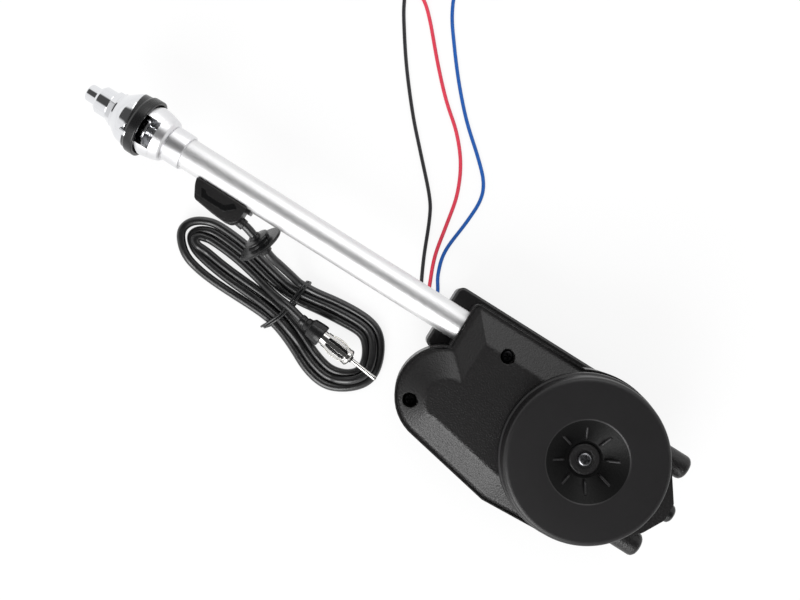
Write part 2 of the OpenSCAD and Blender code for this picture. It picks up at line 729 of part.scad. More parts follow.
module drain_plug() {
    color("#1c1c1c") place() translate([0, spigot_y + 0.6, 0])
        turned([[plug_end_x, 0], [plug_end_x, 5.2], [plug_end_x + 1, 6.2], [plug_end_x + 2, 6.5],
            [nose_x - 1.6, 6.5], [nose_x - 1.6, 5.6], [nose_x, 5.6], [nose_x, 4.4], [nose_x + 5, 4.2],
            [nose_x + 5, 0]]);
}

module motor_at() {
    place() translate([0, motor_y, motor_z]) children();
}

module motor_can() {
    color("silver") motor_at() difference() {
        union() {
            rod(motor_x0, motor_x1, motor_r);
            rod(motor_x0 - 2.4, motor_x0 + 1, 5);
        }
        rod(motor_x0 + 1.2, motor_x1 + 1, motor_r - 1.2);
        rod(motor_x0 - 5, motor_x0 + 5, motor_shaft_r + run_fit);
    }
}

// two curved magnets against the can's wall
module motor_magnets() {
    color("dimgray") motor_at() difference() {
        rod(motor_x0 + 5, motor_x1 - 8, motor_r - 1.2);
        rod(motor_x0 + 4, motor_x1 - 7, motor_r - 4.4);
        translate([motor_x0, -3.4, -20]) cube([60, 6.8, 40]);
    }
}

module motor_end_bell() {
    color("ivory") motor_at() difference() {
        union() {
            rod(motor_x1, motor_x1 + 1.8, motor_r);
            rod(motor_x1 - 2, motor_x1 + 0.5, motor_r - 1.2);
            rod(motor_x1 + 1, motor_x1 + 2.8, 4.4);
        }
        rod(motor_x1 - 4, motor_x1 + 2.3, motor_shaft_r + run_fit);
    }
}

module motor_shaft() {
    color("silver") motor_at() rod(gear_x - 26, motor_x1 + 2, motor_shaft_r);
}

// laminated rotor with three poles, and the commutator behind it
module armature() {
    r = motor_r - 5;
    color("peru") motor_at() difference() {
        union() {
            difference() {
                rod(motor_x0 + 5, motor_x1 - 8, r);
                for (a = [0, 120, 240]) rotate([a, 0, 0]) translate([motor_x0, 4.4, -1.1]) cube([60,
                    10, 2.2]);
            }
            rod(motor_x1 - 8.4, motor_x1 - 3, 4);
        }
        rod(motor_x0, motor_x1 + 4, motor_shaft_r);
    }
}

// outline of one turn of the worm's thread: a trapezoid wave round the axis
function worm_edge(a) = let (u = abs(a) / 180, crest = 0.2, root = 0.62)
    u < crest ? worm_r + 0.95 * gear_m
    : u > root ? worm_r - 1.2 * gear_m
    : worm_r + 0.95 * gear_m - 2.15 * gear_m * (u - crest) / (root - crest);

module worm() {
    steps = 16;
    turns = worm_len / worm_lead;
    color("peru") motor_at() difference() {
        union() {
            translate([gear_x - worm_len / 2, 0, 0]) rotate([0, 90, 0])
                rotate([0, 0, 90 - 180 * turns])
                linear_extrude(worm_len, twist = -360 * turns, slices = ceil(12 * turns), $fn = steps + 2)
                polygon([for (k = [0 : steps - 1]) let (a = 360 * k / steps, b = a > 180 ? a - 360 : a)
                    worm_edge(b) * [cos(a), sin(a)]]);
            rod(gear_x - worm_len / 2 - 3, gear_x - worm_len / 2 + 0.3, worm_r - 0.3);
            rod(gear_x + worm_len / 2 - 0.3, gear_x + worm_len / 2 + 6, worm_r - 0.3);
        }
        rod(gear_x - 20, gear_x + 20, motor_shaft_r);
    }
}

module bush(h, r, bore) {
    difference() {
        cylinder(h = h, r = r);
        translate([0, 0, -1]) cylinder(h = h + 2, r = bore);
    }
}

module shaft_bushes() {
    color("goldenrod") {
        place() translate([gear_x, gear_y, floor_z + wall - 0.5]) bush(5.4, bush_r, gear_shaft_r + run_fit);
        place() translate([gear_x, gear_y, shell_floor_z]) bush(6, bush_r, gear_shaft_r + run_fit);
        motor_at() translate([gear_x - 24, 0, 0]) rotate([0, 90, 0]) bush(4, bush_r - 1,
            motor_shaft_r + run_fit);
    }
}

// outline of a spur gear with straight sided teeth, a tooth centred on angle 0
function tooth(a, r, m, slim) = let (p = 90 / (r / m * 2) * 1)
    [[r - 1.2 * m, a - p * (1.5 - slim)], [r + 0.9 * m, a - p * (0.62 - slim)],
     [r + 0.9 * m, a + p * (0.62 - slim)], [r - 1.2 * m, a + p * (1.5 - slim)]];
module gear_plan(teeth, m, slim) {
    r = teeth * m / 2;
    polygon([for (k = [0 : teeth - 1], q = tooth(360 * k / teeth, r, m, slim)) q[0] * [cos(q[1]),
        sin(q[1])]]);
}

module worm_wheel() {
    thick = 7;
    lean = atan(worm_lead / (2 * PI * worm_r));
    twist = thick * tan(lean) / wheel_r * 180 / PI;
    color("ivory") place() translate([gear_x, gear_y, motor_z - thick / 2]) difference() {
        union() {
            rotate([0, 0, -90 + 180 / wheel_teeth - twist / 2])
                linear_extrude(thick, twist = -twist, slices = 2) gear_plan(wheel_teeth, gear_m, 0.16);
            translate([0, 0, -6.4]) cylinder(h = 6.5, r = 4.6);
        }
        translate([0, 0, -10]) cylinder(h = 30, r = gear_shaft_r);
        translate([0, 0, thick - 1.6]) cylinder(h = 4, r = 6.6);
    }
}

module gear_shaft() {
    color("silver") place() translate([gear_x, gear_y, floor_z + wall + 0.6]) cylinder(h = 57,
        r = gear_shaft_r);
}

module clutch_plate() {
    color("silver") place() translate([gear_x, gear_y, motor_z + 7.4]) difference() {
        union() {
            cylinder(h = 1.6, r = 6.6);
            cylinder(h = 5, r = 4.4);
        }
        translate([0, 0, -1]) cylinder(h = 10, r = gear_shaft_r);
    }
}

// two cone springs back to back that press the wheel's clutch face
module clutch_spring() {
    color("gray") place() translate([gear_x, gear_y, motor_z + 1.9]) rotate_extrude()
        polygon([[3, 0], [6.2, 2.2], [6.2, 3.3], [3, 5.5], [3, 4.7], [5.2, 3.1], [5.2, 2.4], [3, 0.8]]);
}

module drive_gear() {
    color("ivory") place() translate([gear_x, gear_y, -3]) difference() {
        union() {
            rotate([0, 0, -90]) linear_extrude(6) gear_plan(drive_teeth, gear_m, 0.16);
            translate([0, 0, -2.7]) cylinder(h = 2.8, r = 5);
        }
        translate([0, 0, -4]) cylinder(h = 12, r = gear_shaft_r);
    }
}

// grooved idler that presses the cord into the drive gear
module pinch_roller() {
    color("ivory") place() translate([gear_x, roller_y, -3]) rotate_extrude()
        polygon([[roller_bore + run_fit, 0], [roller_r + 0.5, 0], [roller_r + 0.5, 1.2], [roller_r, 1.6],
            [roller_r, 4.4], [roller_r + 0.5, 4.8], [roller_r + 0.5, 6], [roller_bore + run_fit, 6]]);
}

// toothed nylon cord: straight from the mast to the spool, then a quarter turn on its core
module drive_cord() {
    pitch = PI * gear_m;
    x0 = section_x0 - 0.4;
    first = ceil((drum_x + 2 - gear_x) / pitch);
    last = floor((x0 - 2 - gear_x) / pitch) - 1;
    back = -rack_half;
    teeth = [for (k = [first : last]) each [[gear_x + pitch * (k + 0.5) - 1.16, -0.5],
        [gear_x + pitch * (k + 0.5) - 0.5, rack_half], [gear_x + pitch * (k + 0.5) + 0.5, rack_half],
        [gear_x + pitch * (k + 0.5) + 1.16, -0.5]]];
    color("white") place() union() {
        translate([0, 0, -1.2]) linear_extrude(2.4)
            polygon(concat([[drum_x, back], [drum_x, -0.5]], teeth, [[x0, -0.5], [x0, back]]));
        translate([drum_x, drum_y, -1.2]) rotate([0, 0, 180]) rotate_extrude(angle = 90)
            translate([wrap_r + 0.5, 0]) square([0.9, 2.4]);
    }
}

// the cord that is in, lying in one layer round the core
module cord_wraps() {
    one = 2.7;
    count = 5;
    ri = core_r + seat_gap;
    ro = wrap_r + rack_half;
    color("white") place() translate([drum_x, drum_y, wraps_z]) rotate_extrude()
        polygon(concat([[ri, 0]], [for (k = [0 : count - 1]) each [[ro - 0.5, k * one], [ro, k * one + 0.5],
            [ro, k * one + 2.1], [ro - 0.5, k * one + 2.6]]], [[ri, (count - 1) * one + 2.6]]));
}

module cable_spool() {
    bore = post_r + run_fit;
    color("#3a3a3a") place() translate([drum_x, drum_y, 0]) difference() {
        union() {
            translate([0, 0, spool_z0]) cylinder(h = spool_flange, r = spool_r);
            translate([0, 0, spool_z1 - spool_flange]) cylinder(h = spool_flange, r = spool_r);
            difference() {
                translate([0, 0, spool_z0 + 0.1]) cylinder(h = spool_z1 - spool_z0 - 0.2, r = core_r);
                translate([0, 0, spool_z0 + spool_flange]) cylinder(h = 50, r = core_r - 2.4);
            }
            translate([0, 0, spool_z0 + 0.1]) cylinder(h = spool_z1 - spool_z0 + 1, r = bore + 2.4);
        }
        translate([0, 0, -20]) cylinder(h = 60, r = bore);
        for (k = [0 : 5]) rotate([0, 0, 60 * k + 20]) {
            translate([18, 0, -20]) cylinder(h = 60, r = 5);
            translate([37.4, 0, -20]) cylinder(h = 60, r = 3);
        }
    }
}

// board that switches the motor up and down, with its relay
module control_board() {
    top = shell_floor_z + 6.4;
    color("#2f5d3a") place() difference() {
        union() {
            translate([-36, 30, top]) cube([42, 32, 1.6]);
            translate([-30, 36, top + 1.5]) cube([19, 15, 9.5]);
            translate([-6, 38, top + 1.5]) cylinder(h = 8, r = 3.2);
            translate([-6, 46, top + 1.5]) cylinder(h = 8, r = 3.2);
        }
        translate([screw_at[1][0], screw_at[1][1], -20]) cylinder(h = 40, r = 6.4);
    }
}

module wire_gland() {
    color("#1c1c1c") place() difference() {
        translate([0, 0, -36]) turned([[box_x1 - wall - 1.6, 0], [box_x1 - wall - 1.6, 7],
            [box_x1 - wall, 7],
            [box_x1 - wall, 6], [box_x1, 6], [box_x1, 7], [box_x1 + 1.4, 7], [box_x1 + 4, 5.6],
            [box_x1 + 4, 0]]);
        for (y = [-3.4, 0, 3.4]) translate([0, y, -36]) rod(-10, 30, wire_d / 2);
    }
}

module black_wire() {
    color("#2a2a2a") place() swept(black_route, wire_d / 2, 2, 8);
}

module red_wire() {
    color("#c03040") place() swept(red_route, wire_d / 2, 2, 8);
}

module blue_wire() {
    color("#0050a0") place() swept(blue_route, wire_d / 2, 2, 8);
}

// the rest of a wire, coiled in two layers of two turns
module coil_ring(at) {
    place() translate([at[0], at[1], floor_z]) rotate_extrude()
        polygon([[wire_coil_r - wire_coil_w / 2, 0.8], [wire_coil_r - wire_coil_w / 2 + 0.8, 0],
            [wire_coil_r + wire_coil_w / 2 - 0.8, 0], [wire_coil_r + wire_coil_w / 2, 0.8],
            [wire_coil_r + wire_coil_w / 2, wire_coil_w - 0.8], [wire_coil_r + wire_coil_w / 2 - 0.8,
            wire_coil_w],
            [wire_coil_r - wire_coil_w / 2 + 0.8, wire_coil_w], [wire_coil_r - wire_coil_w / 2,
            wire_coil_w - 0.8]]);
}

module black_coil_ring() {
    color("#2a2a2a") coil_ring(black_coil);
}

module red_coil_ring() {
    color("#c03040") coil_ring(red_coil);
}

module blue_coil_ring() {
    color("#0050a0") coil_ring(blue_coil);
}

outer_tube();
guide_tube();
mast_section_1();
mast_section_2();
mast_section_3();
mast_tip_rod();
mast_cap();
top_bush();
wiper_seal();
hex_nut();
chrome_dome();
wedge_gasket();
fender_claw();
threaded_neck();
neck_insulator();
collar();
tube_block();
coax_block();
cable_grommet();
coax_lead();
coax_hank();
hank_tie();
plug_boot();
plug_sleeve();
plug_insulator();
plug_pin();
front_cover();
rear_shell();
drum_cover();
drum_washer();
drum_screw();
cover_screws();
motor_box();
box_screws();
drain_plug();
motor_can();
motor_magnets();
motor_end_bell();
motor_shaft();
armature();
worm();
shaft_bushes();
worm_wheel();
gear_shaft();
clutch_plate();
clutch_spring();
drive_gear();
pinch_roller();
drive_cord();
cord_wraps();
cable_spool();
control_board();
wire_gland();
black_wire();
red_wire();
blue_wire();
black_coil_ring();
red_coil_ring();
blue_coil_ring();
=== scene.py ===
# %% [markdown]
# # A car mast aerial, dressed for a studio photograph
#
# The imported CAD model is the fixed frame. This script adds what the solids leave out: the wound lead,
# the three wires, round edges, turned chrome, the moulded housing's slopes and the finishes.
# Distances of the object are written in millimetres from the point where the mast's axis meets the
# gear housing, with x along the mast, and one function turns them into metres of the row's frame.

# %% Frame
import json
import math

import bpy
import bmesh
import numpy as np
from mathutils import Matrix, Vector


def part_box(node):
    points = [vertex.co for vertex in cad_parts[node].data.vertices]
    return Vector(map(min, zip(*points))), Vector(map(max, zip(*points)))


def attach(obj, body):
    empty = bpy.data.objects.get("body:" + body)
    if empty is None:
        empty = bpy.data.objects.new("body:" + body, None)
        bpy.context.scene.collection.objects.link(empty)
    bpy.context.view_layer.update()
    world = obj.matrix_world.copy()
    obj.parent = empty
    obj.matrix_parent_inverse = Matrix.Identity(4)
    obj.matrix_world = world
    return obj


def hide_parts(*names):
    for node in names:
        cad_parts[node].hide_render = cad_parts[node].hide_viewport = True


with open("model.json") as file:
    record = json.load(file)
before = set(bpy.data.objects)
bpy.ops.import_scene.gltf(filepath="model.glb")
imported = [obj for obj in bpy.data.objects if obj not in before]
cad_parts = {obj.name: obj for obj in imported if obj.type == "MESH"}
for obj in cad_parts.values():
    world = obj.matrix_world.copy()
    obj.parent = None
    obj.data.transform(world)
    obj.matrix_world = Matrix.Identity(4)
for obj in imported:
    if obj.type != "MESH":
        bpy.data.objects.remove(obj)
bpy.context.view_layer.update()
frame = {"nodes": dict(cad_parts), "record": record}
tube_low, tube_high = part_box("outer_tube")
TUBE_END = 231.6
ORIGIN = np.array([tube_high.x - TUBE_END / 1000, (tube_low.y + tube_high.y) / 2,
                   (tube_low.z + tube_high.z) / 2])
FLOOR = -1000 * ORIGIN[2]


def row(points):
    """Millimetres from the mast's foot to metres in the row frame."""
    return np.asarray(points, float) / 1000 + ORIGIN


print("origin of the mast's axis", ORIGIN.round(5), "floor at", round(FLOOR, 2), "mm")

# %% [markdown]
# ## Camera
#
# The photograph looks straight down on the aerial, which lies on a white table. The mast runs to the upper
# left, so the camera is rolled about its own axis. Its height follows from how much larger the drum
# cover, nearest to the lens, looks than the rim below it.

# %% Camera
CAMERA_AT = [44.4, 7.36, 600.0]
CAMERA_ROLL = math.radians(32.2)
PHOTO_WIDTH = 800
FOCAL_PIXELS = 880
SENSOR = 36.0
camera_data = bpy.data.cameras.new("camera")
camera_data.sensor_width = SENSOR
camera_data.lens = FOCAL_PIXELS / PHOTO_WIDTH * SENSOR
camera_data.clip_start, camera_data.clip_end = 0.02, 20
camera = bpy.data.objects.new("camera", camera_data)
right = Vector((-math.cos(CAMERA_ROLL), -math.sin(CAMERA_ROLL), 0))
back = Vector((0, 0, 1))
up = back.cross(right)
camera.matrix_world = Matrix.Translation(row(CAMERA_AT)) @ Matrix((right, up, back)).transposed().to_4x4()
bpy.context.scene.collection.objects.link(camera)
bpy.context.scene.camera = camera

# %% [markdown]
# ## Mesh tools
#
# Every new piece is made from grids of points. A grid is one patch of a surface, and patches are welded
# where their points meet, so a piece has closed seams and poles. The profile tool rounds the corners of a
# profile, as a mould or a lathe tool leaves them, and the other tools turn it or sweep it.

# %% Mesh tools
WELD = 2e-7
CREASE = math.radians(32)


def unit(v):
    """A vector, or an array of them, over its length."""
    return v / np.maximum(np.linalg.norm(v, axis=-1, keepdims=True), 1e-12)


def catmull(points, per=16, closed=False):
    """Catmull-Rom curve. Between b and c it is half of
    2b + (c - a) t + (2a - 5b + 4c - d) t2 + (3b - a - 3c + d) t3."""
    p = np.asarray(points, float)
    if closed:
        p = np.concatenate([p[-1:], p, p[:2]])
    else:
        p = np.concatenate([p[:1], p, p[-1:]])
    t = np.linspace(0, 1, per, endpoint=False)[None, :, None]
    a, b, c, d = (q[:, None] for q in (p[:-3], p[1:-2], p[2:-1], p[3:]))
    curve = 0.5 * (2 * b + (c - a) * t + (2 * a - 5 * b + 4 * c - d) * t**2 + (3 * b - a - 3 * c + d) * t**3)
    curve = curve.reshape(-1, p.shape[1])
    return curve if closed else np.concatenate([curve, p[-2:-1]])


def softened(corners, fillets, steps=4):
    """A closed loop of corners. Each becomes the parabola from a fillet before it to a fillet after it."""
    c = np.asarray(corners, float)
    before, after = np.roll(c, 1, axis=-2) - c, np.roll(c, -1, axis=-2) - c
    room = 0.48 * np.minimum(np.linalg.norm(before, axis=-1), np.linalg.norm(after, axis=-1))
    f = np.minimum(np.broadcast_to(np.asarray(fillets, float), room.shape), room)[..., None]
    a, b = c + unit(before) * f, c + unit(after) * f
    t = np.linspace(0, 1, steps + 1)[:, None]
    arc = (1 - t) ** 2 * a[..., None, :] + 2 * t * (1 - t) * c[..., None, :] + t**2 * b[..., None, :]
    loop = arc.reshape(*c.shape[:-2], -1, c.shape[-1])
    return np.concatenate([loop, loop[..., :1, :]], axis=-2)


def mesh_of(name, grids, caps=()):
    """One object from grids of points in metres and flat caps: welded, facing outwards, and smooth where
    faces meet at less than the crease."""
    points, quads, base = [], [], 0
    for g in grids:
        n, m = g.shape[:2]
        i = np.arange(n * m).reshape(n, m) + base
        quads.append(np.stack([i[:-1, :-1], i[1:, :-1], i[1:, 1:], i[:-1, 1:]], -1).reshape(-1, 4))
        points.append(g.reshape(-1, 3))
        base += n * m
    cap_faces = []
    for cap in caps:
        cap_faces.append(np.arange(len(cap)) + base)
        points.append(np.asarray(cap))
        base += len(cap)
    points, quads = np.concatenate(points), np.concatenate(quads)
    _, first, where = np.unique(np.round(points / WELD).astype(np.int64), axis=0, return_index=True,
                                return_inverse=True)
    where = where.reshape(-1)
    points, quads = points[first], where[quads]
    twin = quads == np.roll(quads, -1, axis=1)
    count = twin.sum(1)
    triangles = quads[count == 1][~twin[count == 1]].reshape(-1, 3)
    whole = quads[count == 0]
    whole = whole[(whole[:, 0] != whole[:, 2]) & (whole[:, 1] != whole[:, 3])]
    faces = [*whole.tolist(), *triangles.tolist(), *[where[c].tolist() for c in cap_faces]]
    mesh = bpy.data.meshes.new(name)
    mesh.from_pydata(points.tolist(), [], faces)
    b = bmesh.new()
    b.from_mesh(mesh)
    bmesh.ops.delete(b, geom=[v for v in b.verts if not v.link_faces], context="VERTS")
    bmesh.ops.recalc_face_normals(b, faces=b.faces)
    b.to_mesh(mesh)
    b.free()
    mesh.shade_smooth()
    mesh.set_sharp_from_angle(angle=CREASE)
    obj = bpy.data.objects.new(name, mesh)
    bpy.context.scene.collection.objects.link(obj)
    return obj


def around(profile, turns=128):
    """Points of a turned surface about the mast's axis: (x, r) becomes (x, r sin a, r cos a)."""
    a = np.linspace(0, 2 * np.pi, turns + 1)
    p = np.asarray(profile)
    p = p if p.ndim == 3 else np.broadcast_to(p, (turns + 1, *p.shape))
    return np.stack([p[..., 0], p[..., 1] * np.sin(a)[:, None], p[..., 1] * np.cos(a)[:, None]], -1)


def turned(name, corners, fillets=0.3, turns=128, steps=4, move=None):
    """A closed loop of (x, r) corners in millimetres, softened and turned about the mast's axis. Where move
    is given, it puts the points elsewhere."""
    grid = around(softened(corners, fillets, steps), turns)
    return mesh_of(name, [row(move(grid) if move else grid)])


def pillow(centre, half, radius, turn=None, n=16):
    """A block with round edges: a sphere's points, pushed apart by the half sizes less the radius."""
    u, v = np.meshgrid(np.linspace(0, 2 * np.pi, 4 * n + 1), np.linspace(0, np.pi, 2 * n + 1))
    s = np.stack([np.sin(v) * np.cos(u), np.sin(v) * np.sin(u), np.cos(v)], -1)
    s[:, -1] = s[:, 0]
    s[0], s[-1] = [0, 0, 1], [0, 0, -1]
    side = np.where(np.abs(s) < 1e-9, 0, np.sign(s))
    p = radius * s + side * (np.asarray(half) - radius)
    p = p if turn is None else p @ np.asarray(turn).T
    return p + np.asarray(centre)


def slab(outline, low, high, fillet, rings=5):
    """Rings of a plate with round edges: the outline moves in along its normals by a quarter circle."""
    p = np.asarray(outline, float)
    along = unit(np.roll(p, -1, 0) - np.roll(p, 1, 0))
    area = (p[:, 0] * np.roll(p[:, 1], -1) - np.roll(p[:, 0], -1) * p[:, 1]).sum()
    inward = np.stack([-along[:, 1], along[:, 0]], -1) * np.sign(area)
    a = np.linspace(0, np.pi / 2, rings)
    inset = fillet * np.concatenate([1 - np.sin(a), (1 - np.cos(a))])
    z = np.concatenate([low + fillet * (1 - np.cos(a)), high - fillet + fillet * np.sin(a)])
    ring = p[None] + inward[None] * inset[:, None, None]
    grid = np.concatenate([ring, np.broadcast_to(z[:, None, None], (*ring.shape[:2], 1))], -1)
    grid = np.concatenate([grid, grid[:, :1]], 1)
    return grid, [grid[0, :-1], grid[-1, :-1]]


def slotted(outer, inner, legs, half_width, phase=0.0, limit=None, across=40):
    """A turned wall with windows, which leave that many legs. outer and inner are (x, r) profiles of one
    length, half_width(x) is half of a window's width, and limit(y) is the greatest x of the wall."""
    t = np.linspace(0, 1, across + 1)
    grids = []
    for leg in range(legs):
        walls = []
        for p in (outer, inner):
            x, r = p[:, :1], p[:, 1:]
            gap = np.arcsin(np.clip(half_width(x) / r, 0, 0.98))
            a = phase + 2 * np.pi * leg / legs + gap + (2 * np.pi / legs - 2 * gap) * t[None]
            y, z = r * np.sin(a), r * np.cos(a)
            x = np.broadcast_to(x, y.shape)
            walls.append(np.stack([np.minimum(x, limit(y)) if limit else x, y, z], -1))
        o, i = walls
        grids += [o, i, np.stack([o[0], i[0]]), np.stack([o[-1], i[-1]])]
        for k in (0, -1):
            grids.append(np.stack([o[:, k], i[:, k]]))
    return grids


def cord_curve(name, points, radius):
    """A round cord: one open spline through the points, given in millimetres."""
    data = bpy.data.curves.new(name, "CURVE")
    data.dimensions = "3D"
    spline = data.splines.new("POLY")
    spline.points.add(len(points) - 1)
    xyz = row(points)
    spline.points.foreach_set("co", np.concatenate([xyz, np.ones((len(xyz), 1))], 1).ravel())
    data.bevel_depth = radius / 1000
    data.bevel_resolution = 4
    data.use_fill_caps = True
    obj = bpy.data.objects.new(name, data)
    bpy.context.scene.collection.objects.link(obj)
    return obj


def length_of(points):
    """Length of a line through points, in metres."""
    return float(np.linalg.norm(np.diff(np.asarray(points), axis=0), axis=1).sum() / 1000)


# %% [markdown]
# ## Material tools
#
# One function adds a shader node, one turns a paint chip's hex colour into linear light, and one makes the
# common start of every finish: Object coordinates in millimetres, so that a pattern's scale is its real one.

# %% Material tools
def linear(hex_colour):
    """sRGB hex to linear: c / 12.92 below 0.04045, else ((c + 0.055) / 1.055) to the power 2.4."""
    c = np.array([int(hex_colour[i:i + 2], 16) for i in (1, 3, 5)]) / 255
    c = np.where(c <= 0.04045, c / 12.92, ((c + 0.055) / 1.055) ** 2.4)
    return (*c.tolist(), 1.0)


def add(tree, kind, inputs=None, **settings):
    """Adds a shader node; its inputs are values, or outputs of other nodes."""
    n = tree.nodes.new("ShaderNode" + kind)
    for key, value in settings.items():
        setattr(n, key, value)
    for key, value in (inputs or {}).items():
        if isinstance(value, bpy.types.NodeSocket):
            tree.links.new(value, n.inputs[key])
        else:
            n.inputs[key].default_value = value
    return n


def cleared(owner):
    """The emptied shader tree of a material or a world."""
    owner.use_nodes = True
    owner.node_tree.nodes.clear()
    return owner.node_tree


def start(name):
    """A material with its Principled shader and Object coordinates in millimetres."""
    m = bpy.data.materials.new(name)
    t = cleared(m)
    shader = add(t, "BsdfPrincipled")
    out = add(t, "OutputMaterial", {"Surface": shader.outputs["BSDF"]})
    out.location = (300, 0)
    where = add(t, "TexCoord").outputs["Object"]
    mm = add(t, "VectorMath", {0: where, 1: (1000, 1000, 1000)}, operation="MULTIPLY").outputs[0]
    return m, t, shader, mm


def spread(tree, value, low, high):
    """A pattern's 0.3 to 0.7 stretched to low and high."""
    return add(tree, "MapRange", {"Value": value, "From Min": 0.3, "From Max": 0.7, "To Min": low,
                                  "To Max": high}).outputs[0]


def noise(tree, mm, scale, detail=3.0, stretch=None):
    """Noise whose grains are about 1 / scale millimetres, drawn out along an axis by stretch."""
    if stretch:
        mm = add(tree, "VectorMath", {0: mm, 1: stretch}, operation="MULTIPLY").outputs[0]
    return add(tree, "TexNoise", {"Vector": mm, "Scale": scale, "Detail": detail}).outputs[0]


def mix(tree, factor, a, b):
    """Two colours mixed by a factor."""
    n = add(tree, "Mix", data_type="RGBA")
    tree.links.new(factor, n.inputs["Factor"])
    for key, value in ((6, a), (7, b)):
        n.inputs[key].default_value = value
    return n.outputs[2]


def moulded(name, dark, light, rough, grain, depth, edge=0.0, sheen_ior=1.46):
    """Moulded plastic or rubber: a fine spark-eroded grain, which also varies its gloss, and faint clouds
    of colour."""
    m, t, shader, mm = start(name)
    cloud = noise(t, mm, 0.05, 4)
    fine = noise(t, mm, grain, 2)
    t.links.new(mix(t, cloud, linear(dark), linear(light)), shader.inputs["Base Color"])
    t.links.new(spread(t, fine, rough - 0.05, rough + 0.06), shader.inputs["Roughness"])
    bump = add(t, "Bump", {"Height": fine, "Strength": 1.0, "Distance": depth / 1000})
    if edge:
        bevel = add(t, "Bevel", {"Radius": edge / 1000}, samples=6)
        t.links.new(bevel.outputs[0], bump.inputs["Normal"])
    t.links.new(bump.outputs[0], shader.inputs["Normal"])
    shader.inputs["IOR"].default_value = sheen_ior
    return m


def metal(name, colour, rough, grain=4.0, stretch=None, depth=0.002, edge=0.0, spot=None):
    """Bare or plated metal: the tool's fine marks change its gloss and tilt its surface a little."""
    m, t, shader, mm = start(name)
    marks = noise(t, mm, grain, 3, stretch)
    cloud = noise(t, mm, 0.08, 3)
    t.links.new(mix(t, cloud, linear(colour), linear(spot or colour)), shader.inputs["Base Color"])
    t.links.new(spread(t, marks, rough * 0.8, rough * 1.25), shader.inputs["Roughness"])
    shader.inputs["Metallic"].default_value = 1.0
    bump = add(t, "Bump", {"Height": marks, "Strength": 1.0, "Distance": depth / 1000})
    if edge:
        bevel = add(t, "Bevel", {"Radius": edge / 1000}, samples=6)
        t.links.new(bevel.outputs[0], bump.inputs["Normal"])
    t.links.new(bump.outputs[0], shader.inputs["Normal"])
    return m


# %% [markdown]
# ## Finishes
#
# The housing is injection moulded ABS with a fine spark-eroded grain. The tube is drawn brass with satin
# chrome, its marks running lengthwise. The head is bright chrome over turned or die-cast metal, with satin
# chrome on claw and collar. Rubber and vinyl have a soft sheen, and the plug is nickel plated brass.

# %% Finishes
finish = {
    "black_plastic": moulded("abs_fine_grain", "#121112", "#181717", 0.36, 0.9, 0.3, edge=0.45),
    "black_rubber": moulded("rubber_moulded", "#101011", "#171718", 0.28, 1.6, 0.02, edge=0.3),
    "natural_nylon": moulded("nylon_natural", "#d8d2bf", "#e4dfce", 0.4, 1.2, 0.01, edge=0.2),
    "black_vinyl": moulded("vinyl_extruded", "#0d0d0e", "#141415", 0.33, 0.2, 0.006, sheen_ior=1.65),
    "board_green": moulded("board_lacquered", "#1d4a2a", "#245a34", 0.3, 1.5, 0.01, edge=0.2),
    "wire_black": moulded("wire_vinyl_black", "#1f1f21", "#28282b", 0.35, 0.8, 0.006),
    "wire_red": moulded("wire_vinyl_red", "#c92c44", "#d83a50", 0.35, 0.8, 0.006),
    "wire_blue": moulded("wire_vinyl_blue", "#044a98", "#0a56a8", 0.35, 0.8, 0.006),
    "tube_metal": metal("tube_satin_chrome", "#e9e9e9", 0.47, 5.0, (0.03, 1, 1), 0.004, spot="#e3e3e4"),
    "chrome": metal("chrome_bright", "#e9eaec", 0.07, 1.2, None, 0.0008, edge=0.15, spot="#e2e3e6"),
    "nickel_plate": metal("nickel_plated", "#dad9d6", 0.1, 2.0, None, 0.001, edge=0.12, spot="#cecdca"),
    "brass": metal("brass_drawn", "#c8a15a", 0.22, 3.0, (0.05, 1, 1), 0.002, spot="#b98f4c"),
    "black_steel": metal("steel_blackened", "#1a1a1b", 0.38, 3.0, None, 0.002, edge=0.15, spot="#242425"),
    "zinc_steel": metal("steel_zinc_plated", "#b5b7b8", 0.25, 2.4, None, 0.002, edge=0.15, spot="#a7a8a4"),
    "magnet_ferrite": metal("ferrite_sintered", "#3b3b3d", 0.6, 1.4, None, 0.01, edge=0.2, spot="#444446"),
    "copper_rotor": metal("copper_and_bronze", "#b87b50", 0.32, 2.0, None, 0.004, edge=0.15, spot="#a56b45"),
}
slot_of = {s["node"]: s["material_slot"] for s in frame["record"]["subparts"]}
for node, obj in frame["nodes"].items():
    obj.data.materials.clear()
    obj.data.materials.append(finish[slot_of[node]])
print(len(finish), "finishes on", len(slot_of), "CAD nodes")


def settle(obj, *nodes, slot=None, body="housing", material=None):
    """The piece stands for these CAD nodes, rides on its body and takes their finish or the one given."""
    name = slot or slot_of[nodes[0]]
    obj.data.materials.append(material or finish[name])
    if nodes:
        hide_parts(*nodes)
    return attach(obj, body)


# %% [markdown]
# ## Aerial lead
#
# A coaxial lead leaves the block on the tube, passes through its rubber grommet and is wound into a flat
# hank of three turns with a waist. The hank's outer edge is one closed curve. Each turn lies a turn's spacing
# further in, towards the hank's middle line, and the line is then evened out as a stiff lead does by itself.
# Where turns are closer than the lead is thick, every second one rides over its neighbours.

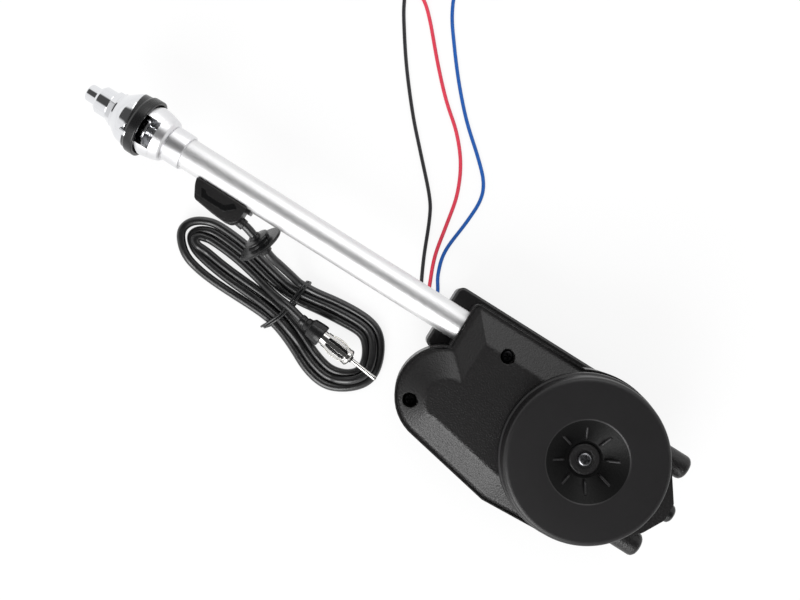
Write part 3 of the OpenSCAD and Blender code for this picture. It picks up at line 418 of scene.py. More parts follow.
# %% Aerial lead
COAX_R = 3.1
coax_route = np.array([[168, 20, -3], [158, 21.8, -5.6], [138, 29.6, -16], [130, 31.6, -23],
                       [122, 33.6, -31], [113, 36, -39]])
hank_edge = [[210, 48], [206, 37], [194, 30], [183, 27.7], [161, 27.5], [144, 29], [124, 32],
             [108, 34], [88, 30], [63, 28], [44.5, 31], [34, 44], [28.7, 58], [28.7, 71],
             [37.5, 82], [48.5, 89.5], [61, 93], [78, 89], [88, 83.5], [108, 75], [125, 72],
             [154, 72], [176, 71], [194, 67], [205, 57]]
hank_middle = [[66, 60], [112, 54.5], [186, 49.8]]
HANK_TURNS = 3
WAIST_TOP = 7
LIFT_AT, LIFT_HALF = 21.5, 1.2
PER_EDGE = 12
END_ROOM = 2.6
# spacing of the turns at places along the edge, counted in its points
spacing_at = [0, 2, 6, 7, 8.5, 10, 11.5, 14, 15.5, 18, 19, 20.5, 22.5, 23.5, 25]
spacing = [4.6, 6.1, 6.1, 5.4, 6.0, 6.0, 5.2, 5.2, 6.4, 6.4, 5.4, 6.1, 6.1, 4.4, 4.6]


def smooth(t):
    """0 below 0, 1 above 1 and 3 t2 - 2 t3 between."""
    t = np.clip(t, 0, 1)
    return t * t * (3 - 2 * t)


edge = catmull(hank_edge, PER_EDGE, closed=True)
count = len(hank_edge)
t = np.arange(WAIST_TOP * PER_EDGE + 4, (WAIST_TOP + HANK_TURNS * count) * PER_EDGE - 1) / PER_EDGE
u = t % count
turn = np.floor((t - WAIST_TOP) / count)
step_in = np.where(u < WAIST_TOP, smooth((u - 2) / 4.5), 0)
gap = np.interp(u, spacing_at, spacing)
on_edge = edge[np.round(t * PER_EDGE).astype(int) % len(edge)]
middle = np.stack([np.clip(on_edge[:, 0], hank_middle[0][0], hank_middle[-1][0]), np.zeros(len(t))], -1)
middle[:, 1] = np.interp(middle[:, 0], [m[0] for m in hank_middle], [m[1] for m in hank_middle])
apart = END_ROOM * np.minimum(turn + step_in, 1) * (smooth((u - 20) / 3) + 1 - smooth(u / 3))
flat = on_edge + unit(middle - on_edge) * (COAX_R + gap * (turn + step_in) + apart)[:, None]
for _ in range(60):
    flat[1:-1] = 0.5 * flat[1:-1] + 0.25 * (flat[:-2] + flat[2:])
passes = (t - LIFT_AT) / count
over = np.floor(passes) % 2
near = (passes - np.round(passes)) * count
fall = smooth(0.5 - near / (2 * LIFT_HALF))
over = np.where(np.abs(near) < LIFT_HALF, np.where(np.round(passes) % 2 == 0, 1 - fall, fall), 1 - over)
height = FLOOR + COAX_R + over * np.sqrt(np.maximum((2 * COAX_R) ** 2 - gap**2, 0))
hank = np.concatenate([flat, height[:, None]], 1)
PLUG_BACK = np.array([97.94, 57.15, FLOOR + 13.1])
PLUG_WAY = np.array([-0.993372, 0.114937, 0.0])
RISE_OVER = 1.6
rise = smooth((t - t[-1] + RISE_OVER) / RISE_OVER)
hank[:, 2] = hank[:, 2] * (1 - rise) + PLUG_BACK[2] * rise
sink = smooth((t - t[0]) / RISE_OVER)
hank[:, 2] = (coax_route[-1][2] - 1.5) * (1 - sink) + hank[:, 2] * sink
lead_in = catmull(coax_route, 10)
ends = catmull([hank[-4], hank[-1], PLUG_BACK + 4 * PLUG_WAY, PLUG_BACK + 12 * PLUG_WAY], 8)[8:]
joint = catmull([lead_in[-6], lead_in[-1], hank[3], hank[9]], 10)[10:20]
lead_line = np.concatenate([lead_in, joint[1:], hank[4:-1], ends[1:]])
for _ in range(6):
    lead_line[1:-1] = 0.5 * lead_line[1:-1] + 0.25 * (lead_line[:-2] + lead_line[2:])
lead = settle(cord_curve("coax_lead_wound", lead_line, COAX_R), "coax_lead", "coax_hank")
print("aerial lead", round(length_of(lead_line), 3), "m in", HANK_TURNS, "turns")

# %% [markdown]
# The hank is held at its waist by a twist tie: plastic covered wire laid round it twice, so it shows as two
# thin strands on top.

# %% Twist tie
TIE_R = 0.85
tie_loop = [[106.6, 31.4, 5.5], [106.7, 34.6, 11], [107.3, 42, 13.6], [108.3, 52, 14.2],
            [109.8, 61, 14], [113, 69, 12.6], [116.6, 75.6, 8.5], [117.2, 76.6, 3.2],
            [113, 70, 1.1], [108, 53, 1.0], [106.6, 35, 1.2]]
strands = []
for shift in (0.0, 2.3):
    loop = np.array(tie_loop) + [shift, 0.3 * shift, FLOOR]
    strands.append(catmull(loop, 8, closed=True))
tie_line = np.concatenate([strands[0], strands[1]])
tie = settle(cord_curve("twist_tie", tie_line, TIE_R), "hank_tie")
print("twist tie", len(tie_line), "points")

# %% [markdown]
# ## Power wires
#
# Three thin wires leave the motor box and run out of the picture. What the picture leaves out is coiled just
# outside it: two turns on the table and two on top of them.

# %% Power wires
WIRE_R = 1.4
WIRE_Z = FLOOR + WIRE_R
COIL_R = 15.0
wires = {
    "black_wire": ([[18, 3.4, -36], [26, 1.5, -40], [33, -4, -44], [38, -12, WIRE_Z], [47, -30, WIRE_Z],
                    [58, -55, WIRE_Z], [67, -69, WIRE_Z], [89, -92, WIRE_Z], [109, -113, WIRE_Z],
                    [133, -142, WIRE_Z], [153.5, -171, WIRE_Z], [162, -185, WIRE_Z],
                    [174, -192.5, WIRE_Z], [194.8, -197.8, WIRE_Z]], [199, -182]),
    "red_wire": ([[18, 0, -36], [24, -2.5, -40], [29, -8, -44], [32, -14, WIRE_Z], [40, -34, WIRE_Z],
                  [45, -58, WIRE_Z], [50, -80, WIRE_Z], [60, -101, WIRE_Z], [75, -119, WIRE_Z],
                  [94, -135, WIRE_Z], [114, -155, WIRE_Z], [137, -180, WIRE_Z], [150, -190, WIRE_Z],
                  [164.7, -193.3, WIRE_Z]], [157.5, -208]),
    "blue_wire": ([[18, -3.4, -36], [21, -6, -40], [23, -9.5, -44], [25, -14, WIRE_Z], [31, -24, WIRE_Z],
                   [35.5, -41, WIRE_Z], [33.5, -67, WIRE_Z], [33.5, -86, WIRE_Z], [39, -99, WIRE_Z],
                   [52, -112, WIRE_Z], [73, -130, WIRE_Z], [93, -151, WIRE_Z], [111, -173, WIRE_Z],
                   [123.7, -190.5, WIRE_Z], [131, -208, WIRE_Z], [131.9, -234, WIRE_Z]], [115.5, -234.5]),
}


def coil(centre, first, sense):
    """Four turns from the first angle. The radius is smaller for the second and third of them, and the
    height is a wire's thickness more from the third on."""
    a = np.linspace(0.25, 8 * np.pi, 260)
    turns_done = a / (2 * np.pi)
    inner = smooth((turns_done - 0.9) / 0.2) - smooth((turns_done - 2.9) / 0.2)
    r = COIL_R + WIRE_R - 2 * WIRE_R * inner
    z = WIRE_Z + 2 * WIRE_R * smooth((turns_done - 1.9) / 0.2)
    return np.stack([centre[0] + r * np.cos(first + sense * a), centre[1] + r * np.sin(first + sense * a),
                     z], -1)


for name, (route, centre) in wires.items():
    way_in = catmull(route, 10)
    way_in[:, 2] = np.maximum(way_in[:, 2], WIRE_Z)
    first = math.atan2(route[-1][1] - centre[1], route[-1][0] - centre[0])
    way, arm = way_in[-1] - way_in[-2], way_in[-1, :2] - centre
    line = np.concatenate([way_in, coil(centre, first, np.sign(arm[0] * way[1] - arm[1] * way[0]))])
    for _ in range(4):
        line[1:-1] = 0.5 * line[1:-1] + 0.25 * (line[:-2] + line[2:])
    obj = settle(cord_curve(name + "_coiled", line, WIRE_R), name, name.replace("_wire", "_coil_ring"))

# %% [markdown]
# ## Pieces on the lead
#
# The grommet closes the hole where the lead enters the car: a broad flange, a waist for the sheet metal and a
# short cuff. The plug is the standard aerial plug: rubber boot, a sleeve of eight leaf springs that bulge to
# grip the socket, an insulator and the long pin. The insulator is made black in place of its nylon. This is
# painted shade in the slots between the leaves.

# %% Grommet
grommet_at = (coax_route[1] + coax_route[2]) / 2
grommet_way = unit(coax_route[2] - coax_route[1])


def along(base, way):
    """Moves points drawn about the x axis to a line through base that runs the way given."""
    side = unit(np.cross([0, 0, 1.0], way))
    turn = np.stack([way, side, np.cross(way, side)])
    return lambda p: p @ turn + base


grommet_profile = [[-7, COAX_R], [-7, 3.9], [-5, 4.5], [-4.4, 9.2], [-3, 9.8], [-2.2, 8.7], [0, 8.7],
                   [0, 16.2], [0.9, 17.4], [2, 16.4], [4, 9.2], [5.2, 4.8], [8.6, 4.1], [8.6, COAX_R]]
grommet = turned("grommet_moulded", grommet_profile, 0.5, 96, move=along(grommet_at, grommet_way))
settle(grommet, "cable_grommet")

# %% Aerial plug
plug_place = along(PLUG_BACK, PLUG_WAY)
boot_profile = [[0, COAX_R], [0, 3.9], [1.2, 4.3], [3, 4.3], [3.6, 4.0], [4.6, 4.0], [5.2, 4.7],
                [8, 5.2], [9.6, 7.1], [16, 8], [19.6, 8.2], [20.6, 7.8], [20.6, 5.3], [15, 5.3],
                [15, COAX_R]]
boot = settle(turned("plug_boot_moulded", boot_profile, 0.4, 96, move=plug_place), "plug_boot")
LEAF_WALL, SLOT_AT, SLOT_STRAIGHT, SLOT_HALF = 1.1, 33.9, 7.5, 1.2
leaf_x = np.linspace(23, 43, 41)
leaf_r = np.interp(leaf_x, [23, 25, 27.5, 30, 34, 38, 40.5, 43], [5.8, 5.85, 6.3, 7.0, 7.35, 7.0, 6.3, 5.85])


def leaf_slot(x):
    """Half of a slot's width. Past its straight part by d it is SLOT_HALF times the root of 1 - d2."""
    past = np.clip(np.abs(x - SLOT_AT) - SLOT_STRAIGHT, 0, 1)
    return SLOT_HALF * np.sqrt(1 - past**2)


leaves = slotted(np.stack([leaf_x, leaf_r], -1), np.stack([leaf_x, leaf_r - LEAF_WALL], -1), 8, leaf_slot,
                 math.pi / 8, None, 10)
neck_ring = around(softened([[15, 4.4], [15, 5.2], [23, 5.2], [23.2, 4.4]], 0.1), 64)
nose_ring = around(softened([[42.6, 4.6], [42.6, 6.1], [44.8, 6.3], [45.8, 5.4], [46.6, 3.4], [46.6, 2.4],
                             [45, 2.4]], 0.25), 64)
sleeve = settle(mesh_of("plug_leaf_sleeve", [row(plug_place(g)) for g in [*leaves, neck_ring, nose_ring]]),
                "plug_sleeve")
ring_profile = [[21, 1.35], [21, 3.9], [41, 3.9], [42, 2.35], [47.6, 2.35], [47.6, 1.35]]
# Black plastic on the insulator, in place of its nylon, is painted shade in the slots between the leaves.
insulator_shade_black = settle(turned("plug_insulator_turned", ring_profile, 0.15, 64, move=plug_place),
                   "plug_insulator", material=finish["black_plastic"])
pin_profile = [[20, 0], [20, 1.3], [47.6, 1.3], [47.6, 1.6], [68.2, 1.6], [69.4, 1.15], [70, 0.5], [70, 0]]
pin = settle(turned("plug_pin_turned", pin_profile, 0.2, 64, move=plug_place), "plug_pin")

# %% [markdown]
# ## Mast tube and wing mount
#
# The tube and its collar are turned. Above them a claw grips the wing from below. It is a bell with two legs
# and a window on each broad side, cut to the crown of the wing. In the windows shows the threaded neck with
# its broad shoulder. The rubber wedge above is hollow, and its skirt ends on a flatter crown. Wedge and dome
# meet on a plane that leans, so the mast stands upright on a sloping wing. A flanged nut and the top bush
# close the mount.

# %% Tube and collar
satin = metal("head_satin_chrome", "#e9e9ea", 0.36, 3.0, None, 0.002, edge=0.15, spot="#e0e0e2")
COLLAR_X, CLAW_X, DOME_X = 220.0, 233.6, 263.4
WASHER_X, NUT_X, BUSH_X, CAP_X, TIP_X = 273.2, 275.8, 279.6, 290.8, 299.0
TUBE_R, NECK_R = 11.0, 7.92
SEAT_PER_Y, SEAT_PER_Z = -0.0886, -0.150
settle(turned("mast_tube", [[-14, 10.1], [-14, TUBE_R], [TUBE_END, TUBE_R], [TUBE_END, 10.1]], 0.25, 160),
       "outer_tube")
settle(turned("mast_collar", [[COLLAR_X, TUBE_R + 0.02], [COLLAR_X, 12.2], [COLLAR_X + 0.7, 12.7],
                              [CLAW_X - 0.6, 12.7], [CLAW_X, 12.1], [CLAW_X, 12.05], [TUBE_END, 12.05],
                              [TUBE_END, TUBE_R + 0.02]], 0.25, 160), "collar", material=satin)

# %% Claw
SADDLE_R, SADDLE_X = 33.2, 254.2
WINDOW_X, WINDOW_HALF = 240.9, 10.0
claw_x = np.concatenate([[CLAW_X], np.linspace(CLAW_X, 255.0, 60)])
claw_out = np.stack([claw_x, np.interp(claw_x, CLAW_X + np.array([0, 0.5, 1.7, 4.8, 8.6, 14.4, 21.4]),
                                       [12.8, 13.7, 15.1, 16.2, 17.2, 18.2, 18.2])], -1)
BORE_R = 8.25
claw_out[0, 1] = BORE_R
claw_in = np.stack([np.maximum(claw_x, CLAW_X + 2.4),
                    np.interp(claw_x, CLAW_X + np.array([2.4, 4.8, 8.6, 14.4, 21.4]),
                              [11.2, 13.9, 15.3, 16.3, 16.4])], -1)
claw_in[0, 1] = BORE_R


def window(x):
    """Half of the window's width: a nearly straight edge at its foot, then even between the legs."""
    return WINDOW_HALF * smooth((x - WINDOW_X) / 0.5) ** 0.5


def crown(radius, top):
    """The greatest x under a cylinder that lies across the mast along z."""
    return lambda y: top - radius + np.sqrt(np.maximum(radius**2 - y**2, 0))


claw = slotted(claw_out, claw_in, 2, window, math.radians(9), crown(SADDLE_R, SADDLE_X - 0.3), 56)
settle(mesh_of("wing_claw", [row(g) for g in claw]), "fender_claw", material=satin)

# %% Neck, with its thread
thread = [[COLLAR_X + 1, 7.0], [COLLAR_X + 1, 10.1], [TUBE_END, 10.1], [TUBE_END, 12.0],
          [CLAW_X - 0.3, 12.0], [CLAW_X - 0.3, NECK_R]]
pitches = CLAW_X + 12 + 1.5 * np.arange(24)
SHOULDER_X, SHOULDER_END, SHOULDER_R = 248.2, 256.6, 12.4
below, above = pitches[pitches < SHOULDER_X - 1.2], pitches[pitches > SHOULDER_END]
ridges = ((0, NECK_R - 0.7), (0.55, NECK_R), (0.95, NECK_R))
thread += [[x + d, r] for x in below for d, r in ridges]
thread += [[SHOULDER_X, NECK_R - 0.7], [SHOULDER_X, SHOULDER_R - 0.6], [SHOULDER_X + 0.6, SHOULDER_R],
           [SHOULDER_END, SHOULDER_R], [SHOULDER_END, NECK_R - 0.7]]
thread += [[x + d, r] for x in above for d, r in ridges]
thread += [[BUSH_X + 3.6, NECK_R - 0.7], [BUSH_X + 3.6, 7.0]]
settle(turned("threaded_sleeve", thread, 0.12, 96, 2), "threaded_neck")

# %% Wedge
RIM_R, RIM_X, CAVITY_X, SKIRT_R = 400.0, 251.2, 257.0, 18.7
angle = np.linspace(0, 2 * np.pi, 161)


def seat(r):
    """The leaning plane between wedge and dome, as x at each angle and radius r."""
    return DOME_X + r * (SEAT_PER_Y * np.sin(angle) + SEAT_PER_Z * np.cos(angle))


def foot(r):
    """The skirt's edge at each angle and radius r, a little hollowed for the crown of the wing."""
    return crown(RIM_R, RIM_X)(r * np.sin(angle))


def corner(x, r):
    """One corner of a profile at every angle. x and r are one value or a value at each angle."""
    return np.stack([np.broadcast_to(x, angle.shape), np.broadcast_to(r, angle.shape)], -1)


SLEEVE_R = 8.2
wedge_corners = np.stack([corner(seat(SLEEVE_R), SLEEVE_R), corner(seat(19.2), 19.2), corner(258.6, 19.7),
                          corner(257.4, 20.9), corner(foot(21), 21), corner(foot(SKIRT_R), SKIRT_R),
                          corner(CAVITY_X, SKIRT_R), corner(CAVITY_X, SLEEVE_R)], 1)
wedge_corners[:, 2, 0] = np.minimum(wedge_corners[:, 2, 0], wedge_corners[:, 1, 0] - 0.4)
wedge = around(softened(wedge_corners, [0.1, 0.5, 0.5, 0.8, 0.9, 0.5, 0.4, 0.1], 5), 160)
settle(mesh_of("rubber_wedge", [row(wedge)]), "wedge_gasket")

# %% Dome, with its lug
DOME_CURVE = ((3.4, 17.75), (5.4, 16.5), (7.6, 14.9), (9.6, 13.4), (10.6, 13.0))
dome_corners = np.stack([corner(seat(SLEEVE_R), SLEEVE_R), corner(seat(18.5), 18.5),
                         corner(seat(18.6) + 1.2, 18.6), *[corner(DOME_X + x, r) for x, r in DOME_CURVE],
                         corner(WASHER_X, SLEEVE_R)], 1)
dome = around(softened(dome_corners, [0.1, 0.3, 1.0, 1.4, 1.4, 1.4, 1.0, 0.3, 0.1], 5), 160)
lean = math.radians(33)
lug_turn = [[1, 0, 0], [0, math.cos(lean), math.sin(lean)], [0, -math.sin(lean), math.cos(lean)]]
lug = pillow(np.array([DOME_X - 3.8, 0, 19.9]) @ np.array(lug_turn).T, [2.6, 1.8, 1.5], 0.45, lug_turn)
settle(mesh_of("chrome_dome_turned", [row(dome), row(lug)]), "chrome_dome")

# %% Nut, bush and cap
HEX_FLAT, HEX_CORNER, HEX_TOP = 10.4, 11.9, 11.3
side_angle = (angle + math.radians(12)) % (math.pi / 3) - math.pi / 6
hexagon = np.minimum(HEX_FLAT / np.cos(side_angle), HEX_CORNER)
capped = np.minimum(hexagon, HEX_TOP)
nut_corners = np.stack([corner(NUT_X - 0.6, 8.0), corner(NUT_X - 0.6, hexagon),
                        corner(BUSH_X - 0.6, hexagon), corner(BUSH_X, capped), corner(BUSH_X, 8.0)], 1)
nut = around(softened(nut_corners, 0.25, 4), 160)
flange = around(softened([[WASHER_X, 8.0], [WASHER_X, 12.3], [WASHER_X + 0.5, 12.7], [NUT_X - 0.6, 12.7],
                          [NUT_X + 0.4, 11.2], [NUT_X + 0.4, 8.0]], 0.3, 4), 160)
settle(mesh_of("flanged_nut", [row(nut), row(flange)]), "hex_nut")
settle(turned("mast_bush", [[BUSH_X, NECK_R + 0.1], [BUSH_X, 9.5], [BUSH_X + 0.5, 9.9], [CAP_X - 2.2, 9.9],
                            [CAP_X - 0.3, 8.4], [CAP_X, 7.8], [CAP_X, 4.9], [CAP_X - 3, 4.9],
                            [CAP_X - 3, NECK_R + 0.1]], 0.35, 128), "top_bush")
settle(turned("mast_tip_cap", [[CAP_X, 1.76], [CAP_X, 5.8], [CAP_X + 0.5, 6.15], [TIP_X - 0.9, 6.15],
                               [TIP_X, 5.3], [TIP_X, 0], [CAP_X + 5, 0], [CAP_X + 5, 1.76]], 0.35, 128),
       "mast_cap", body="tip")
print("head pieces made from x", CLAW_X, "to", TIP_X, "mm")

# %% [markdown]
# ## Block of the lead
#
# A moulded block is clamped on the side of the tube where the lead comes out. It is a thick plate with round
# edges. The shallow curved recess of its broad face is drawn as a thin dark inlay, which looks the same
# from above. The inlay's dark colour is painted shade of the recess.

# %% Block of the lead
BLOCK_X, BLOCK_H = 165.0, 15.0
block_corners = np.array([[0, 9.6], [0, 21.6], [5.6, 26.4], [17.5, 25.6], [33.4, 23.4],
                          [38.3, 14.6], [39.6, 9.6]]) + [BLOCK_X, 0]


def resampled(loop, count):
    """A closed loop at even steps along its length."""
    loop = np.asarray(loop)
    s = np.concatenate([[0], np.cumsum(np.linalg.norm(np.diff(loop, axis=0), axis=1))])
    at = np.linspace(0, s[-1], count, endpoint=False)
    return np.stack([np.interp(at, s, loop[:, k]) for k in range(2)], -1)


block_outline = resampled(softened(block_corners, 2.0, 8), 240)
block_grid, block_caps = slab(block_outline, -BLOCK_H / 2, BLOCK_H / 2, 0.9)
mark_line = np.array([[4.8, 14.2], [8.4, 11.6], [13.6, 16.4], [27.8, 16.4], [29.6, 14], [33, 14.6],
                      [29.6, 20.2], [11.4, 20.2]]) + [BLOCK_X, 0]
mark_ring = resampled(softened(mark_line, 1.0, 6), 160)
mark_grid, mark_caps = slab(mark_ring, BLOCK_H / 2 - 1.0, BLOCK_H / 2 + 0.3, 0.2)
tongue = pillow([BLOCK_X - 0.6, 11.3, -1.4], [2.6, 2.2, 6.0], 0.7)
outlet_ring = around(softened([[0, COAX_R], [0, 4.0], [6.2, 3.9], [6.2, COAX_R]], 0.4), 64)
outlet = along(coax_route[0], unit(coax_route[1] - coax_route[0]))(outlet_ring)
block = mesh_of("lead_block", [row(g) for g in (block_grid, tongue, outlet)], [row(c) for c in block_caps])
settle(block, "coax_block")
# The inlay's dark colour is painted shade of the recess. The inlay is also smoother than the face round it.
mark = moulded("abs_recess_painted_shade", "#070708", "#0b0b0c", 0.22, 2.0, 0.01)
settle(mesh_of("lead_block_recess", [row(mark_grid)], [row(c) for c in mark_caps]), slot="black_plastic",
       material=mark)

# %% [markdown]
# ## Front cover
#
# The cover is one moulding. From its flange it slopes up to a flat face in front of the mast and again over
# the lobe that holds the circuit board. The two slopes meet in a soft valley. Each slope is a plane or a cone
# written as a height over the distance from its foot, and smooth greatest and least values join them. The
# grid runs from the drum's opening to the housing's outline, with more lines where the cover is long.

# %% Housing outline
DRUM_AT = np.array([-112.0, 31.0])
DRUM_R, TURRET_R, BULGE_R = 54.4, 50.0, 57.4
NOSE_X = -181.3
LOBE_AT, LOBE_R = np.array([-15.4, 45.7]), 34.0
LOW_EDGE_Y, LOW_SLOPE = 91.0, 15.7


def arc(centre, radius, first, last, n):
    """Points of an arc, its angles in degrees."""
    a = np.radians(np.linspace(first, last, n))
    return np.stack([centre[0] + radius * np.cos(a), centre[1] + radius * np.sin(a)], -1)


housing_outline = np.concatenate([arc([-5, -14.5], 5, -90, 0, 9), [[0, 14.6], [1.2, 17.4], [10.6, 23.4]],
                                  arc(LOBE_AT, LOBE_R, -39, 79.5, 60), [[-72.6, LOW_EDGE_Y], [-112, 88.6]],
                                  arc(DRUM_AT, BULGE_R, 96, 143, 24),
                                  [[-173.2, 53], [NOSE_X, 37.8], [NOSE_X, 25.4], [-163, -0.7]],
                                  arc(DRUM_AT, BULGE_R, 229, 296, 34), [[-80, -19.6]]])


def reach(theta, line):
    """Distance from the drum's centre to a closed line, at each angle."""
    dense = resampled(np.concatenate([line, line[:1]]), 4000) - DRUM_AT
    a, r = np.arctan2(dense[:, 1], dense[:, 0]), np.hypot(dense[:, 0], dense[:, 1])
    order = np.argsort(a)
    return np.interp(theta, a[order], r[order], period=2 * np.pi)


print("housing outline", len(housing_outline), "points,", housing_outline.min(0), "to",
      housing_outline.max(0), "mm")

# %% Cover surface
LEDGE_Z, FLANGE_Z, PLATEAU_Z, TURRET_Z = 10.8, 12.4, 22.0, 24.2
COVER_WALL = 2.2
COVER_INSET = 1.6
BLEND = 0.9


def least(a, b, k=BLEND):
    """Smooth least value: both less than half their distance apart are joined by a parabola."""
    h = np.clip(0.5 + 0.5 * (b - a) / k, 0, 1)
    return b * (1 - h) + a * h - k * h * (1 - h)


def most(a, b, k=BLEND):
    """Smooth greatest value."""
    return -least(-a, -b, k)


def beyond(p, a, b):
    """Distance of points to the left of the line from a to b."""
    way = unit(np.array(b, float) - np.array(a, float))
    d = p - np.array(a, float)
    return d[..., 1] * way[0] - d[..., 0] * way[1]


def cover_height(p):
    """Height of the cover's face. A slope's share f is 0 at its foot and 1 at its top. Round the lobe it
    solves |p - c0 - f (c1 - c0)| = r0 - f (r0 - r1), a cone between two circles that don't share a centre."""
    x, y = p[..., 0], p[..., 1]
    mast_share = np.where(y < 46, least((y + 16) / 17.8, (-4.2 - x) / 15.1, 0.06), 0)
    foot_at, foot_r, top_at, top_r = LOBE_AT, LOBE_R - 3.6, np.array([-18, 47.6]), 15.4
    d, v, fall = p - foot_at, top_at - foot_at, foot_r - top_r
    qa = (v * v).sum() - fall**2
    qb = 2 * (foot_r * fall - (d * v).sum(-1))
    qc = (d * d).sum(-1) - foot_r**2
    round_share = (-qb + np.sqrt(np.maximum(qb * qb - 4 * qa * qc, 0))) / (2 * qa)
    lower_share = least(beyond(p, [-9.8, 75.6], [-72.6, 87.6]), beyond(p, [-72.6, 87.6], [-116, 85]), 1.0)
    lower_share = lower_share / LOW_SLOPE
    sector = np.degrees(np.arctan2(d[..., 1], d[..., 0]))
    lobe_share = round_share + (lower_share - round_share) * smooth((sector - 68) / 22)
    lobe_share = np.where((sector < -120) & (np.hypot(d[..., 0], d[..., 1]) > 14), -1, lobe_share)
    rise = PLATEAU_Z - FLANGE_Z
    z = most(FLANGE_Z + rise * np.minimum(mast_share, 3), FLANGE_Z + rise * np.minimum(lobe_share, 3))
    return most(least(z, PLATEAU_Z), FLANGE_Z, 0.6)


wide = np.radians(np.linspace(-64, 84, 521))
rest = np.radians(np.linspace(84, 296, 141))[1:]
theta = np.concatenate([wide, rest])
theta[-1] = theta[0] + 2 * np.pi
limit_r = reach(theta, housing_outline) - COVER_INSET
fraction = np.linspace(0, 1, 117)
radius = TURRET_R + (limit_r - TURRET_R)[:, None] * fraction[None]
plan = DRUM_AT + radius[..., None] * np.stack([np.cos(theta), np.sin(theta)], -1)[:, None]
top = cover_height(plan)
HOLES = [([-35.5, 1.2], 4.9, 16.9), ([3.5, 60.1], 4.9, 8.5)]
for centre, hole_r, hole_z in HOLES:
    d = plan - centre
    far = np.hypot(d[..., 0], d[..., 1])
    top = np.where(far < hole_r, hole_z, top)
    near_edge = (np.abs(far - hole_r) < 0.42)[..., None]
    side = np.where(far < hole_r, -0.03, 0.03)[..., None]
    plan = np.where(near_edge, np.array(centre) + unit(d) * (hole_r + side), plan)
under = np.maximum(top - COVER_WALL, LEDGE_Z)
under = np.where(top < LEDGE_Z + 1, top - 1.6, under)
face = np.concatenate([plan, top[..., None]], -1)
back_face = np.concatenate([plan, under[..., None]], -1)
ring = np.stack([np.cos(theta), np.sin(theta)], -1)


def hoop(r, z):
    """A circle about the drum's centre."""
    return np.concatenate([DRUM_AT + r * ring, np.full((len(ring), 1), float(z))], -1)


lip = [face[:, 0], hoop(TURRET_R, TURRET_Z - 0.3), hoop(TURRET_R - 0.3, TURRET_Z),
       hoop(TURRET_R - COVER_WALL, TURRET_Z), hoop(TURRET_R - COVER_WALL, LEDGE_Z), back_face[:, 0]]
cover = settle(mesh_of("front_cover_moulded", [row(face), row(back_face), row(np.stack(lip)),
                                               row(np.stack([face[:, -1], back_face[:, -1]]))]),
               "front_cover")
print("front cover", len(cover.data.polygons), "faces")

# %% [markdown]
# ## Drum cover
#
# The large round cover is a turned shape with a soft outer edge and a thicker ring at its foot. In its
# middle a cone leads down to the flat seat of the screw, and eight thin ribs stand in the cone. The cone
# is darker and less glossy than the face round it. This is painted shade, standing in for a deeper cone that
# shades itself.

# %% Drum cover
DRUM_TOP_Z, DRUM_SKIRT_Z, WELL_Z, CONE_R, WELL_R = 40.0, 22.3, 28.0, 26.8, 12.4


def upright(grid):
    """Turned points set upright on the drum's axis: the distance along x becomes the height."""
    return np.stack([DRUM_AT[0] + grid[..., 1], DRUM_AT[1] + grid[..., 2], grid[..., 0]], -1)


drum_profile = [[WELL_Z - 2.4, 2.7], [WELL_Z, 2.7], [WELL_Z, WELL_R], [DRUM_TOP_Z - 0.5, CONE_R],
                [DRUM_TOP_Z, CONE_R + 0.7], [DRUM_TOP_Z, DRUM_R - 2.9], [DRUM_TOP_Z - 0.9, DRUM_R - 0.9],
                [DRUM_TOP_Z - 3, DRUM_R - 0.1], [DRUM_SKIRT_Z + 5, DRUM_R + 0.2],
                [DRUM_SKIRT_Z + 4, DRUM_R + 1.5], [DRUM_SKIRT_Z + 0.6, DRUM_R + 1.8],
                [DRUM_SKIRT_Z, DRUM_R + 1.5], [DRUM_SKIRT_Z, TURRET_R + 0.3], [TURRET_Z, TURRET_R + 0.3],
                [TURRET_Z, TURRET_R - COVER_WALL], [TURRET_Z + 2.2, TURRET_R - COVER_WALL],
                [TURRET_Z + 2.2, DRUM_R - 2.6], [DRUM_TOP_Z - 3.8, DRUM_R - 2.6],
                [DRUM_TOP_Z - 2.6, DRUM_R - 3.6], [DRUM_TOP_Z - 2.6, CONE_R + 1.2],
                [WELL_Z - 2.4, WELL_R + 1.4]]
fillets = [0.05, 0.2, 0.8, 0.5, 0.4, 1.2, 1.2, 2.0, 0.6, 0.6, 0.3, 0.2, 0.1, 0.1, 0.1, 0.1, 0.1,
           0.3, 0.3, 0.5, 0.5]
drum = [upright(around(softened(drum_profile, fillets, 5), 240))]
rib_side = np.array([[WELL_R + 0.4, WELL_Z - 0.4], [22.6, 35.6], [21.6, 35.9], [WELL_R + 2.6, 33.6],
                     [WELL_R + 1.2, 32.2]])
rib_grid, rib_caps = slab(resampled(softened(rib_side, 0.5, 4), 60), -0.7, 0.7, 0.3, 3)
drum_caps = []


def spoke(grid, a):
    """Points of a rib turned about the drum's axis by the angle a."""
    return np.stack([DRUM_AT[0] + grid[..., 0] * math.cos(a) - grid[..., 2] * math.sin(a),
                     DRUM_AT[1] + grid[..., 0] * math.sin(a) + grid[..., 2] * math.cos(a), grid[..., 1]], -1)


for k in range(8):
    a = math.radians(30 + 45 * k)
    drum.append(spoke(rib_grid, a))
    drum_caps += [row(spoke(c, a)) for c in rib_caps]
drum_black = moulded("abs_smooth_matt", "#121112", "#171617", 0.42, 2.2, 0.03, edge=0.5)
# The cone's darker colour and weaker sheen are painted shade, standing in for a deeper cone that shades
# itself.
cone_painted_shade = moulded("abs_cone_painted_shade", "#070707", "#0a0a0a", 0.4, 0.9, 0.16, edge=0.5, sheen_ior=1.22)
drum_cover = settle(mesh_of("drum_cover_moulded", [row(g) for g in drum], drum_caps), "drum_cover",
                    material=drum_black)
drum_cover.data.materials.append(cone_painted_shade)
